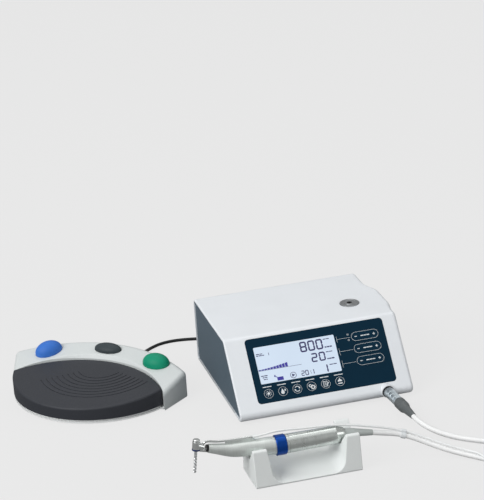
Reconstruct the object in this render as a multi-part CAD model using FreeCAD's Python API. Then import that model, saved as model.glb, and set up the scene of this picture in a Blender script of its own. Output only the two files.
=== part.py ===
import FreeCAD, Part
import math
import os
from FreeCAD import Matrix, Placement, Rotation
from FreeCAD import Vector as V

# Table-top motor set for placing dental implants: a console with a slanted key panel,
# a foot control, and a motor handpiece with a contra-angle lying in its cradle.
# The console's front left corner stands at x = 0, y = 0; x runs right, y runs back, z runs up.

# Fits shared by all pieces
RUNNING = 0.05      # radial gap of a shaft in its bearing
SLIDING = 0.15      # gap round a key or button that slides in its opening
SEAM = 0.2          # gap between two fixed mouldings
PRESS_ROOM = 0.45   # gap between a key's stem and its switch, a little over its travel

# Console casing
CASE_WIDTH = 245.5          # at the front, under the pump bulge
CASE_DEPTH = 234.0
CASE_HEIGHT = 94.5
FOOT_HEIGHT = 3.0
FOOT_RADIUS = 7.0
CASE_WALL = 2.8
FRONT_SLOPE = 50.8          # degrees from the table
NOSE_OVERHANG = 9.9         # sharp nose corner in front of y = 0, before it is rounded
REAR_BOTTOM_ROUND = 6.0
REAR_TOP_ROUND = 9.0
RIDGE_ROUND = 8.0
NOSE_ROUND = 8.0
LEFT_EDGE_ROUND = 2.0
RIGHT_EDGE_ROUND = 5.0
RIGHT_RIM = 8.0             # how deep the thick right rim reaches in
RIGHT_RIM_WALL = 7.5
REAR_RIGHT_X = 239.0
BULGE_X = 249.5
BULGE_REAR_Y = (192.0, 150.0)
BULGE_FRONT_Y = (110.0, 80.0)
PANEL_RECESS_LEFT = 1.8
PANEL_RECESS_RIGHT = 2.0
SIDE_PANEL_THICK = 2.5
BASE_SEAM_Y = 32.0          # where the base tray starts behind the nose
BASE_THICK = 3.0
CASE_BOSS_RADIUS = 5.0
CASE_SCREW_RADIUS = 1.5
CASE_SCREW_HEAD_RADIUS = 2.9
CASE_SCREW_HEAD_HEIGHT = 2.0
CASE_SCREW_LENGTH = 12.0
CASE_SCREW_X = (26.0, 221.0)
CASE_SCREW_FRONT_Y = 42.0
CASE_SCREW_REAR_INSET = 9.0

# Key panel on the slanted front: u runs right, v runs up the slope, w stands out of it
PANEL_DATUM = 2.6           # start of v, up the slope from the sharp nose corner
OVERLAY_U = (28.4, 224.0)
OVERLAY_V = (23.4, 115.0)
OVERLAY_ROUND = 5.0
OVERLAY_THICK = 1.2
OVERLAY_RECESS = 1.0
PANEL_MARGIN = 5.5          # ledge that carries the overlay round the opening
LCD_U = (37.9, 152.2)
LCD_V = (50.0, 102.3)
LCD_ROUND = 1.5
LCD_FRAME = 2.2
LCD_BODY_DEPTH = 6.8
ROUND_KEY_U0 = 45.2
ROUND_KEY_PITCH = 20.1
ROUND_KEY_COUNT = 6
ROUND_KEY_V = 35.8
ROUND_KEY_RADIUS = 7.0
PILL_U = 195.0
PILL_V = (94.2, 76.7, 59.2)
PILL_LENGTH = 40.0
PILL_HEIGHT = 13.7
KEY_PROUD = 0.3
KEY_FLANGE = 1.0
KEY_FLANGE_THICK = 1.2
KEY_STEM_RADIUS = 2.0
PILL_STEM_SPREAD = 12.0
KEY_STEM_END = -4.8         # w of a stem's end
SWITCH_SIZE = 6.0
BOARD_W = -8.0              # front face of the control board
BOARD_THICK = 1.6
BOARD_U = (22.0, 226.0)
BOARD_V = (28.0, 112.0)
BOARD_NOTCH = 1.0           # room round a screw tower that passes the board
POST_RADIUS = 3.5

# Motor socket and plug at the lower right of the front
SOCKET_X = 207.6
SOCKET_Y = -4.5
SOCKET_Z = 13.8
SOCKET_YAW = 3.9            # degrees that the plug leans to the right
COLLAR_RADIUS = 9.0
SOCKET_FLANGE_RADIUS = 8.0
SOCKET_FLANGE_THICK = 2.0
SOCKET_BODY_RADIUS = 7.2
SOCKET_DEPTH = 20.0
PLUG_RADIUS = 6.0
PLUG_FLARE = 6.8
PLUG_INSERT = 14.0
PLUG_BARREL = 36.0
PLUG_BOOT = 50.5
PLUG_BOOT_RADIUS = 7.6

# Stand rod socket on top
ROD_X = 197.0
ROD_Y = 123.0
ROD_DISC_RADIUS = 13.75
ROD_DISC_PROUD = 1.2
ROD_BORE_RADIUS = 3.5
ROD_TUBE_RADIUS = 6.5
ROD_BORE_DEPTH = 33.0

# Rear wall
INLET_X = 196.0
INLET_Z = 34.0
INLET_SIZE = (28.0, 21.0)
INLET_CAVITY = (24.0, 16.5)
INLET_DEPTH = 20.0
INLET_CAVITY_DEPTH = 15.0
INLET_PIN_LENGTH = 9.5
SWITCH_X = 152.0
SWITCH_OPENING = (13.0, 20.0)
SWITCH_TILT = 16.0          # degrees between off and on
FOOT_SOCKET_X = 40.0
FOOT_SOCKET_Z = 30.0
FOOT_SOCKET_RADIUS = 8.0
FOOT_PLUG_RADIUS = 5.0
VENT_X = (78.0, 132.0)
VENT_COUNT = 7
VENT_WIDTH = 3.0
VENT_HEIGHT = 34.0

# Pump behind the door in the bulge
PUMP_Y = 130.0
PUMP_Z = 51.0
PUMP_RACE_RADIUS = 16.5
PUMP_ROTOR_REACH = 13.5
PUMP_ROLLER_RADIUS = 4.0
PUMP_SHAFT_RADIUS = 2.5
PUMP_BED_X = (216.0, 244.4)
PUMP_BED_HALF = 22.0
PUMP_RACE_X = 225.0
DOOR_WIDTH = 38.0
DOOR_HEIGHT = 42.0
DOOR_THICK = 2.2
DOOR_GAP = 0.35
DOOR_PIN_RADIUS = 0.8
DOOR_PIN_LENGTH = 2.0

# Power supply in the base
SUPPLY_X = (40.0, 150.0)
SUPPLY_Y = (110.0, 200.0)
SUPPLY_STAND = 4.0
SUPPLY_BOARD = 1.6

# Foot control, in its own frame: u along the pedal's chord, v towards its back
FOOT_X = -174.0
FOOT_Y = 168.5
FOOT_YAW = -39.6
PEDAL_HALF = 116.0
PEDAL_FRONT_SAGITTA = 81.5
PEDAL_REAR_SAGITTA = 56.0
PEDAL_FRONT_Z = 23.5
PEDAL_TOP_SLOPE = 0.082
PEDAL_SKIRT_Z = 6.6
PEDAL_WALL = 2.2
PEDAL_TOP_ROUND = 3.0
PEDAL_RIB_CENTRE = (4.0, 38.0)
PEDAL_RIB_FIRST = 33.0
PEDAL_RIB_COUNT = 8
PEDAL_RIB_PITCH = 7.7
PEDAL_RIB_WIDTH = 1.3
PEDAL_RIB_DEPTH = 0.6
PEDAL_RIB_FROM = -140.0     # degrees; the grooves sweep from front left
PEDAL_RIB_SWEEP = 124.0
PEDAL_HINGE_U = 30.0
PEDAL_HINGE_V = 44.0
PEDAL_HINGE_Z = 15.0
PEDAL_PIN_RADIUS = 2.5
RIM_GAP = 0.9               # between the pedal's skirt and the base's rim inside it
HOUSING_GAP = 1.2
HOUSING_LEFT = ((-119.5, 5.0), (-138.0, 47.0))      # front and rear corner of each end
HOUSING_RIGHT = ((121.0, -7.6), (131.3, 49.0))
HOUSING_BACK_V = 93.0
HOUSING_FRONT_Z = 27.7
HOUSING_SLOPE = 0.22
HOUSING_WALL = 2.6
HOUSING_ROUND = 7.0
HOUSING_CORNER = 9.0
HOUSING_SKIRT_Z = 0.6
HOUSING_SILL = 0.4          # inner edge of the housing over the pedal's rear edge
HOUSING_BEVEL_RISE = 1.7    # rise of the bevel behind that edge for each millimetre back
HOUSING_BEVEL_ROUND = 3.0
FOOT_BASE_Z = 1.6
FOOT_BASE_THICK = 1.8
# Each button: u, v, half length, half width, turn in degrees, height of its crown
BUTTONS = {
    "blue": (-87.5, 53.5, 19.5, 14.5, 45.0, 13.8),
    "grey": (-2.8, 73.4, 20.4, 10.6, 0.0, 7.6),
    "green": (81.0, 56.5, 20.2, 14.6, -6.0, 12.6),
}
BUTTON_STANDS = 1.0
BUTTON_SKIRT = 5.4
BUTTON_LIP = 1.2
BUTTON_TRAVEL = 2.5
BUTTON_STEM_RADIUS = 3.0
BUTTON_STEM = 6.0
FOOT_BOARD_Z = 6.0
FOOT_BOARD_THICK = 1.6
FOOT_PADS = ((-70.0, -25.0), (70.0, -25.0), (-52.0, 66.0), (52.0, 66.0))
PEDAL_SPRING_V = -20.0
PEDAL_SPRING_RADIUS = 7.0
CABLE_EXIT_U = 18.0
CABLE_EXIT_Z = 14.0

# Handpiece along x, lying in the cradle
HAND_Y = -158.0
HAND_Z = 40.7
BAND_X = (4.9, 18.2)
BAND_RADIUS = 13.5
MOTOR_X = (18.4, 96.5)
MOTOR_FRONT_RADIUS = 12.6
MOTOR_REAR_RADIUS = 11.8
MOTOR_CHAMFER = 11.0
MOTOR_END_RADIUS = 8.2
MOTOR_WALL = 1.6
MOTOR_NOSE_RADIUS = 6.5
MOTOR_NOSE_LENGTH = 18.0
ROTOR_SHAFT_RADIUS = 1.5
MAGNET_RADIUS = 5.0
# Sheath sections from the band to the head: x, z, radius, tilt in degrees
SHEATH = ((3.7, HAND_Z, 12.1, 0.0), (-14.0, 42.2, 11.3, 4.0), (-32.0, 44.2, 10.5, 5.0), (-46.0, 45.3, 9.9, 7.0),
          (-56.0, 46.7, 8.9, 12.0), (-66.0, 49.1, 7.5, 14.0), (-75.0, 51.6, 6.5, 14.0), (-82.5, 53.7, 5.6, 14.0))
SHEATH_WALL = 1.1
HEAD_X = -97.4
HEAD_Z = 60.8
HEAD_TILT = 7.0
HEAD_RADIUS = 4.95
HEAD_UP = 5.4
HEAD_DOWN = 7.4
HEAD_BORE = 3.9
HEAD_ROUND = 0.8
NECK_RADIUS = 2.6
NECK_DROP = 2.9             # neck's axis below the middle of the sheath's front end
HEAD_BUTTON_RADIUS = 4.5
HEAD_BUTTON_HEIGHT = 2.0
HEAD_BUTTON_TRAVEL = 0.6
SPINDLE_RADIUS = 2.6
DRILL_RADIUS = 1.95
SHANK_RADIUS = 1.2
DRILL_LENGTH = 30.5
SHAFT_RADIUS = 1.0
PIPE_RADIUS = 1.5
PIPE_SEAT = 0.1
MOTOR_BOOT_X = 135.0

# Cradle
CRADLE_X = (-31.0, 110.5)
CRADLE_Y = (-191.0, -126.0)
CRADLE_PEAK_Y = (-184.5, -132.5)
CRADLE_PEAK_Z = 49.5
CRADLE_NOTCH_Z = 25.2
CRADLE_NOTCH_ROUND = 8.0
CRADLE_POST_X = (-15.0, 95.5)
CRADLE_LEAN = 9.0
CRADLE_TROUGH_Z = (3.0, 15.5)
CRADLE_TROUGH_ROUND = 16.0
CRADLE_EDGE_ROUND = 2.5

# Cords
MOTOR_CORD = 7.0
TUBE = 3.0
FOOT_CABLE = 4.6
COIL_GAP = 0.5              # between a coil's neighbouring turns and layers

NODES = {}


def add(name, shape):
    """Keep a finished piece under its node name."""
    NODES[name] = shape


def box(x, y, z):
    """Box between two corners given as pairs per axis."""
    return Part.makeBox(x[1] - x[0], y[1] - y[0], z[1] - z[0], V(x[0], y[0], z[0]))


def centred_box(centre, size):
    """Box about a centre."""
    low = V(centre[0] - size[0] / 2, centre[1] - size[1] / 2, centre[2] - size[2] / 2)
    return Part.makeBox(size[0], size[1], size[2], low)


def rod(radius, start, end):
    """Round bar from one point to another."""
    return Part.makeCylinder(radius, end.sub(start).Length, start, end.sub(start))


def taper(start_radius, end_radius, start, end):
    """Cone frustum from one point to another."""
    return Part.makeCone(start_radius, end_radius, end.sub(start).Length, start, end.sub(start))


def joined(*shapes):
    """One solid from shapes that touch or overlap."""
    return shapes[0].multiFuse(list(shapes[1:])).removeSplitter()


def less(body, *tools):
    """Body with every tool cut away."""
    return body.cut(list(tools)) if len(tools) > 1 else body.cut(tools[0])


def rounded_wire(points, radii):
    """Closed wire through corner points, each corner rounded by its own radius."""
    edges = []
    ends = []
    count = len(points)
    for i, (corner, radius) in enumerate(zip(points, radii)):
        if radius <= 0:
            ends.append((corner, corner))
            continue
        back = points[i - 1].sub(corner).normalize()
        ahead = points[(i + 1) % count].sub(corner).normalize()
        half = back.getAngle(ahead) / 2
        tangent = radius / math.tan(half)
        start = corner + back * tangent
        end = corner + ahead * tangent
        inward = (back + ahead).normalize()
        middle = corner + inward * (radius / math.sin(half) - radius)
        edges.append(Part.Arc(start, middle, end).toShape())
        ends.append((start, end))
    for i in range(count):
        start = ends[i][1]
        end = ends[(i + 1) % count][0]
        if start.distanceToPoint(end) > 1e-6:
            edges.append(Part.LineSegment(start, end).toShape())
    return Part.Wire(Part.__sortEdges__(edges))


def rounded_prism(points, radii, sweep):
    """Prism on a rounded outline."""
    return Part.Face(rounded_wire(points, radii)).extrude(sweep)


def inset(points, distance):
    """Corners of a convex outline, given counter-clockwise in 2D, moved inwards."""
    result = []
    count = len(points)
    for i in range(count):
        ax, ay = points[i - 1]
        bx, by = points[i]
        cx, cy = points[(i + 1) % count]
        first = math.hypot(bx - ax, by - ay)
        second = math.hypot(cx - bx, cy - by)
        d1 = ((bx - ax) / first, (by - ay) / first)
        d2 = ((cx - bx) / second, (cy - by) / second)
        cross = d1[0] * d2[1] - d1[1] * d2[0]
        shift = distance * math.hypot(d2[0] - d1[0], d2[1] - d1[1]) / abs(cross)
        way = (d2[0] - d1[0], d2[1] - d1[1])
        size = math.hypot(*way)
        result.append((bx + way[0] / size * shift, by + way[1] / size * shift))
    return result


def filleted(shape, radius, wanted):
    """Shape with a fillet on every edge that the test picks."""
    return shape.makeFillet(radius, [edge for edge in shape.Edges if wanted(edge)])


def placed(shape, placement):
    """Copy of a shape in another frame."""
    copy = shape.copy()
    copy.Placement = placement.multiply(copy.Placement)
    return copy


def revolved(profile, base, axis, across):
    """Solid turned from (distance along axis, radius) pairs."""
    axis = V(axis).normalize()
    points = [base + axis * along + across * radius for along, radius in profile]
    points.append(points[0])
    return Part.Face(Part.makePolygon(points)).revolve(base, axis, 360)


# Routes and tubes of the cords

def tube_route(points):
    """Straight runs joined by tangent arcs, as edges, with the arcs' radii."""
    edges = []
    radii = []
    last = points[0]
    for before, corner, after in zip(points, points[1:], points[2:]):
        back = before.sub(corner)
        ahead = after.sub(corner)
        short = min(back.Length, ahead.Length)
        back.normalize()
        ahead.normalize()
        half_turn = (math.pi - back.getAngle(ahead)) / 2
        tangent = 0.45 * short
        radius = tangent / math.tan(half_turn)
        radii.append(radius)
        start = corner + back * tangent
        end = corner + ahead * tangent
        inward = (back + ahead).normalize()
        middle = corner + inward * (radius / math.cos(half_turn) - radius)
        edges.append(Part.LineSegment(last, start).toShape())
        edges.append(Part.Arc(start, middle, end).toShape())
        last = end
    edges.append(Part.LineSegment(last, points[-1]).toShape())
    return edges, radii


def swept(edges, radius):
    """Round tube along connected edges."""
    wire = Part.Wire(edges)
    start = edges[0].valueAt(edges[0].FirstParameter)
    way = edges[0].tangentAt(edges[0].FirstParameter)
    ring = Part.Wire(Part.Circle(start, way, radius).toShape())
    shell = Part.BRepOffsetAPI.MakePipeShell(wire)
    shell.add(ring)
    shell.build()
    shell.makeSolid()
    solid = shell.shape()
    if solid.Volume < 0:
        solid.reverse()
    expected = math.pi * radius ** 2 * wire.Length
    print("tube: length %.1f, volume / (section x length) %.4f" % (wire.Length, solid.Volume / expected))
    return solid


def cord_tube(name, points, diameter):
    """A cord's stretch as a node, with its radii printed."""
    points = [V(*point) for point in points]
    edges, radii = tube_route(points)
    print(name, "least radius %.1f mm = %.1f diameters" % (min(radii), min(radii) / diameter))
    add(name, swept(edges, diameter / 2))


def coil_point(coil, turn):
    """Point of a wound coil after a number of turns, and how the spiral goes in and out."""
    centre_x, centre_y, outer, start, sense, per_layer, layers, diameter = coil
    pitch = diameter + COIL_GAP
    layer = turn / per_layer
    phase = layer % 2
    inwards = phase if phase <= 1 else 2 - phase
    radius = outer - pitch * per_layer * inwards
    height = diameter / 2
    for step in range(1, layers):
        climb = min(1, max(0, (turn - (step * per_layer - 0.25)) / 0.5))
        height += pitch * climb ** 2 * (3 - 2 * climb)
    angle = math.radians(start) + sense * 2 * math.pi * turn
    return V(centre_x + radius * math.cos(angle), centre_y + radius * math.sin(angle), height)


def coil_end(coil, turn, outward):
    """End of a coil and the straight lead of one diameter that leaves it along its tangent."""
    step = 1e-4
    here = coil_point(coil, turn)
    way = coil_point(coil, turn + step).sub(coil_point(coil, turn - step)).normalize()
    lead = here + way * (coil[7] * outward)
    return here, lead, way


def biarc(start, start_way, end, end_way):
    """Two arcs that join two points with given tangents."""
    span = end.sub(start)
    both = start_way + end_way
    square = both.dot(both) - 4
    along = span.dot(both)
    if abs(square) < 1e-9:
        reach = span.dot(span) / (2 * along)
    else:
        reach = (along - math.sqrt(along ** 2 - span.dot(span) * square)) / square
    first = start + start_way * reach
    second = end - end_way * reach
    middle = (first + second) * 0.5
    arcs = []
    for a, b, corner in ((start, middle, first), (middle, end, second)):
        chord_middle = (a + b) * 0.5
        half = b.sub(a).Length / 2
        turn = math.atan2(corner.sub(chord_middle).Length, half)
        top = chord_middle + corner.sub(chord_middle).normalize() * (half * math.tan(turn / 2))
        arcs.append(Part.Arc(a, top, b).toShape())
    return arcs


def coil_tube(name, coil):
    """A wound coil as one unbroken tube; prints its least gap to itself."""
    per_layer, layers, diameter = coil[5], coil[6], coil[7]
    turns = per_layer * layers
    steps = int(round(turns * 4))
    stations = [turns * i / steps for i in range(steps + 1)]
    nudge = 1e-4
    points = [coil_point(coil, turn) for turn in stations]
    ways = [coil_point(coil, turn + nudge).sub(coil_point(coil, turn - nudge)).normalize()
            for turn in stations]
    edges = [Part.LineSegment(points[0] - ways[0] * diameter, points[0]).toShape()]
    for i in range(steps):
        edges.extend(biarc(points[i], ways[i], points[i + 1], ways[i + 1]))
    edges.append(Part.LineSegment(points[-1], points[-1] + ways[-1] * diameter).toShape())
    samples = [coil_point(coil, turns * i / (steps * 12)) for i in range(steps * 12 + 1)]
    skip = 18
    least = min(samples[i].distanceToPoint(samples[j])
                for i in range(0, len(samples), 2) for j in range(i + skip, len(samples), 2))
    print(name, "turns %.2f, least gap to itself %.2f mm" % (turns, least - diameter))
    add(name, swept(edges, diameter / 2))


# Console casing

z_low = FOOT_HEIGHT
z_top = FOOT_HEIGHT + CASE_HEIGHT
slope = math.radians(FRONT_SLOPE)
ridge_y = -NOSE_OVERHANG + CASE_HEIGHT / math.tan(slope)
side_profile = [(-NOSE_OVERHANG, z_low), (CASE_DEPTH, z_low), (CASE_DEPTH, z_top), (ridge_y, z_top)]
side_rounds = (NOSE_ROUND, REAR_BOTTOM_ROUND, REAR_TOP_ROUND, RIDGE_ROUND)
panel_start = V(0, -NOSE_OVERHANG + PANEL_DATUM * math.cos(slope), z_low + PANEL_DATUM * math.sin(slope))
panel_frame = Placement(panel_start, Rotation(V(1, 0, 0), FRONT_SLOPE))


def profile_prism(distance, x):
    """Prism of the casing's side profile, moved inwards by a distance."""
    corners = [V(x[0], y, z) for y, z in inset(side_profile, distance)] if distance else [
        V(x[0], y, z) for y, z in side_profile]
    rounds = [max(radius - distance, 0.6) for radius in side_rounds]
    return rounded_prism(corners, rounds, V(x[1] - x[0], 0, 0))


def s_curve(start, end):
    """Two tangent arcs between parallel lines that run along y."""
    dx = end.x - start.x
    dy = end.y - start.y
    radius = (dx * dx + dy * dy) / (4 * abs(dx))
    middle = (start + end) * 0.5
    turn = math.asin(abs(dy) / 2 / radius) / 2
    bend = radius * (1 - math.cos(turn))
    reach = radius * math.sin(turn)
    side = math.copysign(1, dx)
    down = math.copysign(1, dy)
    first = Part.Arc(start, start + V(side * bend, down * reach, 0), middle).toShape()
    second = Part.Arc(middle, end - V(side * bend, down * reach, 0), end).toShape()
    return [first, second]


def plan_prism(shift):
    """Upright prism of the casing's plan, its right side moved inwards by a shift."""
    far_y = CASE_DEPTH + 10
    near_y = -NOSE_OVERHANG - 10
    a = V(-1, near_y, 0)
    b = V(-1, far_y, 0)
    c = V(REAR_RIGHT_X - shift, far_y, 0)
    d = V(REAR_RIGHT_X - shift, BULGE_REAR_Y[0], 0)
    e = V(BULGE_X - shift, BULGE_REAR_Y[1], 0)
    f = V(BULGE_X - shift, BULGE_FRONT_Y[0], 0)
    g = V(CASE_WIDTH - shift, BULGE_FRONT_Y[1], 0)
    h = V(CASE_WIDTH - shift, near_y, 0)
    edges = [Part.LineSegment(a, b).toShape(), Part.LineSegment(b, c).toShape(),
             Part.LineSegment(c, d).toShape()]
    edges += s_curve(d, e)
    edges.append(Part.LineSegment(e, f).toShape())
    edges += s_curve(f, g)
    edges += [Part.LineSegment(g, h).toShape(), Part.LineSegment(h, a).toShape()]
    return Part.Face(Part.Wire(edges)).extrude(V(0, 0, z_top + 10))


def on_right_rim(edge):
    """Edges of the casing's right-hand outline."""
    bounds = edge.BoundBox
    upright = bounds.YLength < 0.01 and bounds.XLength < 0.01
    at_rear = bounds.YMin > CASE_DEPTH - 0.1
    return bounds.XMin > REAR_RIGHT_X - 1 and (not upright or at_rear)


def in_panel(shape):
    """Shape from the key panel's frame in the console's."""
    return placed(shape, panel_frame)


def panel_plate(u, v, rounding, w):
    """Rounded plate in the key panel's frame."""
    corners = [V(u[0], v[0], w[0]), V(u[1], v[0], w[0]), V(u[1], v[1], w[0]), V(u[0], v[1], w[0])]
    return rounded_prism(corners, [rounding] * 4, V(0, 0, w[1] - w[0]))


def pill(centre_u, centre_v, length, height, w):
    """Round-ended plate in the key panel's frame."""
    u = (centre_u - length / 2, centre_u + length / 2)
    v = (centre_v - height / 2, centre_v + height / 2)
    return panel_plate(u, v, height / 2 - 0.01, w)


outer = profile_prism(0, (0, BULGE_X + 5)).common(plan_prism(0))
outer = filleted(outer, LEFT_EDGE_ROUND, lambda edge: edge.BoundBox.XMax < 0.01)
outer = filleted(outer, RIGHT_EDGE_ROUND, on_right_rim)
rim_x = REAR_RIGHT_X - RIGHT_RIM
hollow = profile_prism(CASE_WALL, (-1, rim_x))
pocket = profile_prism(RIGHT_RIM_WALL, (rim_x - 1, BULGE_X + 6))
wrap = less(outer, hollow, pocket)

collar_frame = Placement(V(SOCKET_X, SOCKET_Y, SOCKET_Z), Rotation(V(0, 0, 1), SOCKET_YAW))


def along_plug(distance):
    """Point on the plug's axis, measured outwards from the socket's face."""
    return collar_frame.multVec(V(0, -distance, 0))


collar = rod(COLLAR_RADIUS, along_plug(SOCKET_FLANGE_THICK * -0.5), along_plug(-24))
collar = filleted(collar, 0.7, lambda edge: edge.Closed and edge.CenterOfMass.y < 0)
collar = collar.common(box((0, CASE_WIDTH), (-30, 60), (z_low, z_top)))
cavity_room = profile_prism(CASE_WALL, (-1, rim_x)).common(box((0, rim_x), (13, 60), (0, z_top)))
wrap = joined(wrap, less(collar, cavity_room))
wrap = less(wrap, rod(SOCKET_BODY_RADIUS + SEAM, along_plug(8), along_plug(-30)),
            rod(SOCKET_FLANGE_RADIUS + SEAM, along_plug(8), along_plug(-SOCKET_FLANGE_THICK)))

# Ledge and opening for the overlay
overlay_recess = panel_plate((OVERLAY_U[0] - SEAM, OVERLAY_U[1] + SEAM),
                             (OVERLAY_V[0] - SEAM, OVERLAY_V[1] + SEAM),
                             OVERLAY_ROUND + SEAM, (-OVERLAY_RECESS, 3))
panel_opening = panel_plate((OVERLAY_U[0] + PANEL_MARGIN - 2, OVERLAY_U[1] - PANEL_MARGIN + 2),
                            (OVERLAY_V[0] + 2.5, OVERLAY_V[1] - PANEL_MARGIN),
                            OVERLAY_ROUND, (-12, 3))
board_posts = []
for post_u in (BOARD_U[0] + POST_RADIUS, BOARD_U[1] - POST_RADIUS - 0.5):
    for post_v in (BOARD_V[0] + 5, BOARD_V[1] - 5):
        board_posts.append((post_u, post_v))
posts = [in_panel(rod(POST_RADIUS, V(u, v, -CASE_WALL + 0.5), V(u, v, BOARD_W))) for u, v in board_posts]
post_holes = [in_panel(rod(CASE_SCREW_RADIUS + RUNNING, V(u, v, -CASE_WALL - 0.5), V(u, v, BOARD_W - 1)))
              for u, v in board_posts]
wrap = joined(wrap, *posts)
wrap = less(wrap, in_panel(overlay_recess), in_panel(panel_opening), *post_holes)

# Screw bosses that hold the base tray
rear_screw_y = CASE_DEPTH - CASE_SCREW_REAR_INSET
case_screws_at = [(x, y) for x in CASE_SCREW_X for y in (CASE_SCREW_FRONT_Y, rear_screw_y)]
base_top = z_low + BASE_THICK
inside = profile_prism(CASE_WALL - 0.5, (-1, rim_x + 0.5))
for x, y in case_screws_at:
    if y > CASE_DEPTH / 2:
        boss = box((x - CASE_BOSS_RADIUS, x + CASE_BOSS_RADIUS), (y - CASE_BOSS_RADIUS, CASE_DEPTH),
                   (base_top + SEAM, base_top + 24))
    else:
        boss = rod(CASE_BOSS_RADIUS, V(x, y, base_top + SEAM), V(x, y, z_top))
    wrap = joined(wrap, boss.common(inside))
    wrap = less(wrap, rod(CASE_SCREW_RADIUS + RUNNING, V(x, y, 0), V(x, y, base_top + 14)))

# Openings in the rear wall and the top
rear_zone = (CASE_DEPTH - CASE_WALL - 1, CASE_DEPTH + 1)
wrap = less(wrap, box((INLET_X - INLET_SIZE[0] / 2 - SEAM, INLET_X + INLET_SIZE[0] / 2 + SEAM), rear_zone,
                      (INLET_Z - INLET_SIZE[1] / 2 - SEAM, INLET_Z + INLET_SIZE[1] / 2 + SEAM)),
            box((SWITCH_X - SWITCH_OPENING[0] / 2 - 0.5, SWITCH_X + SWITCH_OPENING[0] / 2 + 0.5), rear_zone,
                (INLET_Z - SWITCH_OPENING[1] / 2 - 0.8, INLET_Z + SWITCH_OPENING[1] / 2 + 0.8)),
            rod(FOOT_SOCKET_RADIUS + SEAM, V(FOOT_SOCKET_X, rear_zone[0], FOOT_SOCKET_Z),
                V(FOOT_SOCKET_X, rear_zone[1], FOOT_SOCKET_Z)))
vents = []
for i in range(VENT_COUNT):
    x = VENT_X[0] + (VENT_X[1] - VENT_X[0]) * i / (VENT_COUNT - 1)
    corners = [V(x - VENT_WIDTH / 2, rear_zone[0], INLET_Z - 8), V(x + VENT_WIDTH / 2, rear_zone[0], INLET_Z - 8),
               V(x + VENT_WIDTH / 2, rear_zone[0], INLET_Z - 8 + VENT_HEIGHT),
               V(x - VENT_WIDTH / 2, rear_zone[0], INLET_Z - 8 + VENT_HEIGHT)]
    vents.append(rounded_prism(corners, [VENT_WIDTH / 2 - 0.05] * 4, V(0, CASE_WALL + 2, 0)))
wrap = less(wrap, *vents)
wrap = less(wrap, rod(ROD_TUBE_RADIUS + SEAM, V(ROD_X, ROD_Y, z_top - 6), V(ROD_X, ROD_Y, z_top + 2)),
            rod(ROD_DISC_RADIUS + SEAM, V(ROD_X, ROD_Y, z_top - 0.8), V(ROD_X, ROD_Y, z_top + 2)))

# Two mouldings: the wrap-round upper case and the base tray
base_zone = box((-1, BULGE_X + 5), (BASE_SEAM_Y, CASE_DEPTH + 1), (0, base_top))
base_zone_wide = box((-1, BULGE_X + 5), (BASE_SEAM_Y - SEAM, CASE_DEPTH + 1), (0, base_top + SEAM))
base = outer.common(base_zone)
base = less(base, pocket.common(box((rim_x + RIGHT_RIM + 1, BULGE_X + 6), (0, CASE_DEPTH), (0, base_top))))
case_upper = less(wrap, base_zone_wide)
supply_posts = [(x, y) for x in (SUPPLY_X[0] + 5, SUPPLY_X[1] - 5) for y in (SUPPLY_Y[0] + 5, SUPPLY_Y[1] - 5)]
base = joined(base, *[rod(POST_RADIUS, V(x, y, z_low + 1), V(x, y, base_top + SUPPLY_STAND))
                      for x, y in supply_posts])
for x, y in case_screws_at:
    base = less(base, rod(CASE_SCREW_RADIUS + RUNNING, V(x, y, 0), V(x, y, base_top + 1)),
                rod(CASE_SCREW_HEAD_RADIUS + RUNNING, V(x, y, 0), V(x, y, z_low + CASE_SCREW_HEAD_HEIGHT - 0.5)))
add("case_upper", case_upper)
add("case_base", base)

screws = []
for x, y in case_screws_at:
    head_top = z_low + CASE_SCREW_HEAD_HEIGHT - 0.5
    head = rod(CASE_SCREW_HEAD_RADIUS, V(x, y, head_top - CASE_SCREW_HEAD_HEIGHT), V(x, y, head_top))
    cross = centred_box((x, y, head_top - CASE_SCREW_HEAD_HEIGHT), (3.2, 0.7, 1.6))
    cross = cross.fuse(centred_box((x, y, head_top - CASE_SCREW_HEAD_HEIGHT), (0.7, 3.2, 1.6)))
    shank = rod(CASE_SCREW_RADIUS, V(x, y, head_top), V(x, y, head_top + CASE_SCREW_LENGTH))
    screws.append(joined(head, shank).cut(cross))
add("case_screws", Part.makeCompound(screws))

# Slate side panels
left_plate = profile_prism(CASE_WALL + SEAM, (PANEL_RECESS_LEFT, PANEL_RECESS_LEFT + SIDE_PANEL_THICK))
add("side_panel_left", less(left_plate, box((0, 10), (0, CASE_DEPTH), (0, base_top + SEAM))))
door_y = (PUMP_Y - DOOR_WIDTH / 2, PUMP_Y + DOOR_WIDTH / 2)
door_z = (PUMP_Z - DOOR_HEIGHT / 2, PUMP_Z + DOOR_HEIGHT / 2)
door_outer_x = BULGE_X - PANEL_RECESS_RIGHT
band_plan = less(plan_prism(PANEL_RECESS_RIGHT), plan_prism(PANEL_RECESS_RIGHT + SIDE_PANEL_THICK))
right_plate = band_plan.common(profile_prism(RIGHT_RIM_WALL + SEAM, (rim_x, BULGE_X + 5)))
door_opening = box((rim_x, BULGE_X + 5), door_y, door_z)
hinge_y = door_y[1] - 2.0
hinge_x = door_outer_x - DOOR_THICK / 2
pin_low = V(hinge_x, hinge_y, door_z[0] - DOOR_PIN_LENGTH)
pin_high = V(hinge_x, hinge_y, door_z[1] + DOOR_PIN_LENGTH)
pin_holes = rod(DOOR_PIN_RADIUS + RUNNING, pin_low - V(0, 0, 0.3), pin_high + V(0, 0, 0.3))
add("side_panel_right", less(right_plate, door_opening, pin_holes))

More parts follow.
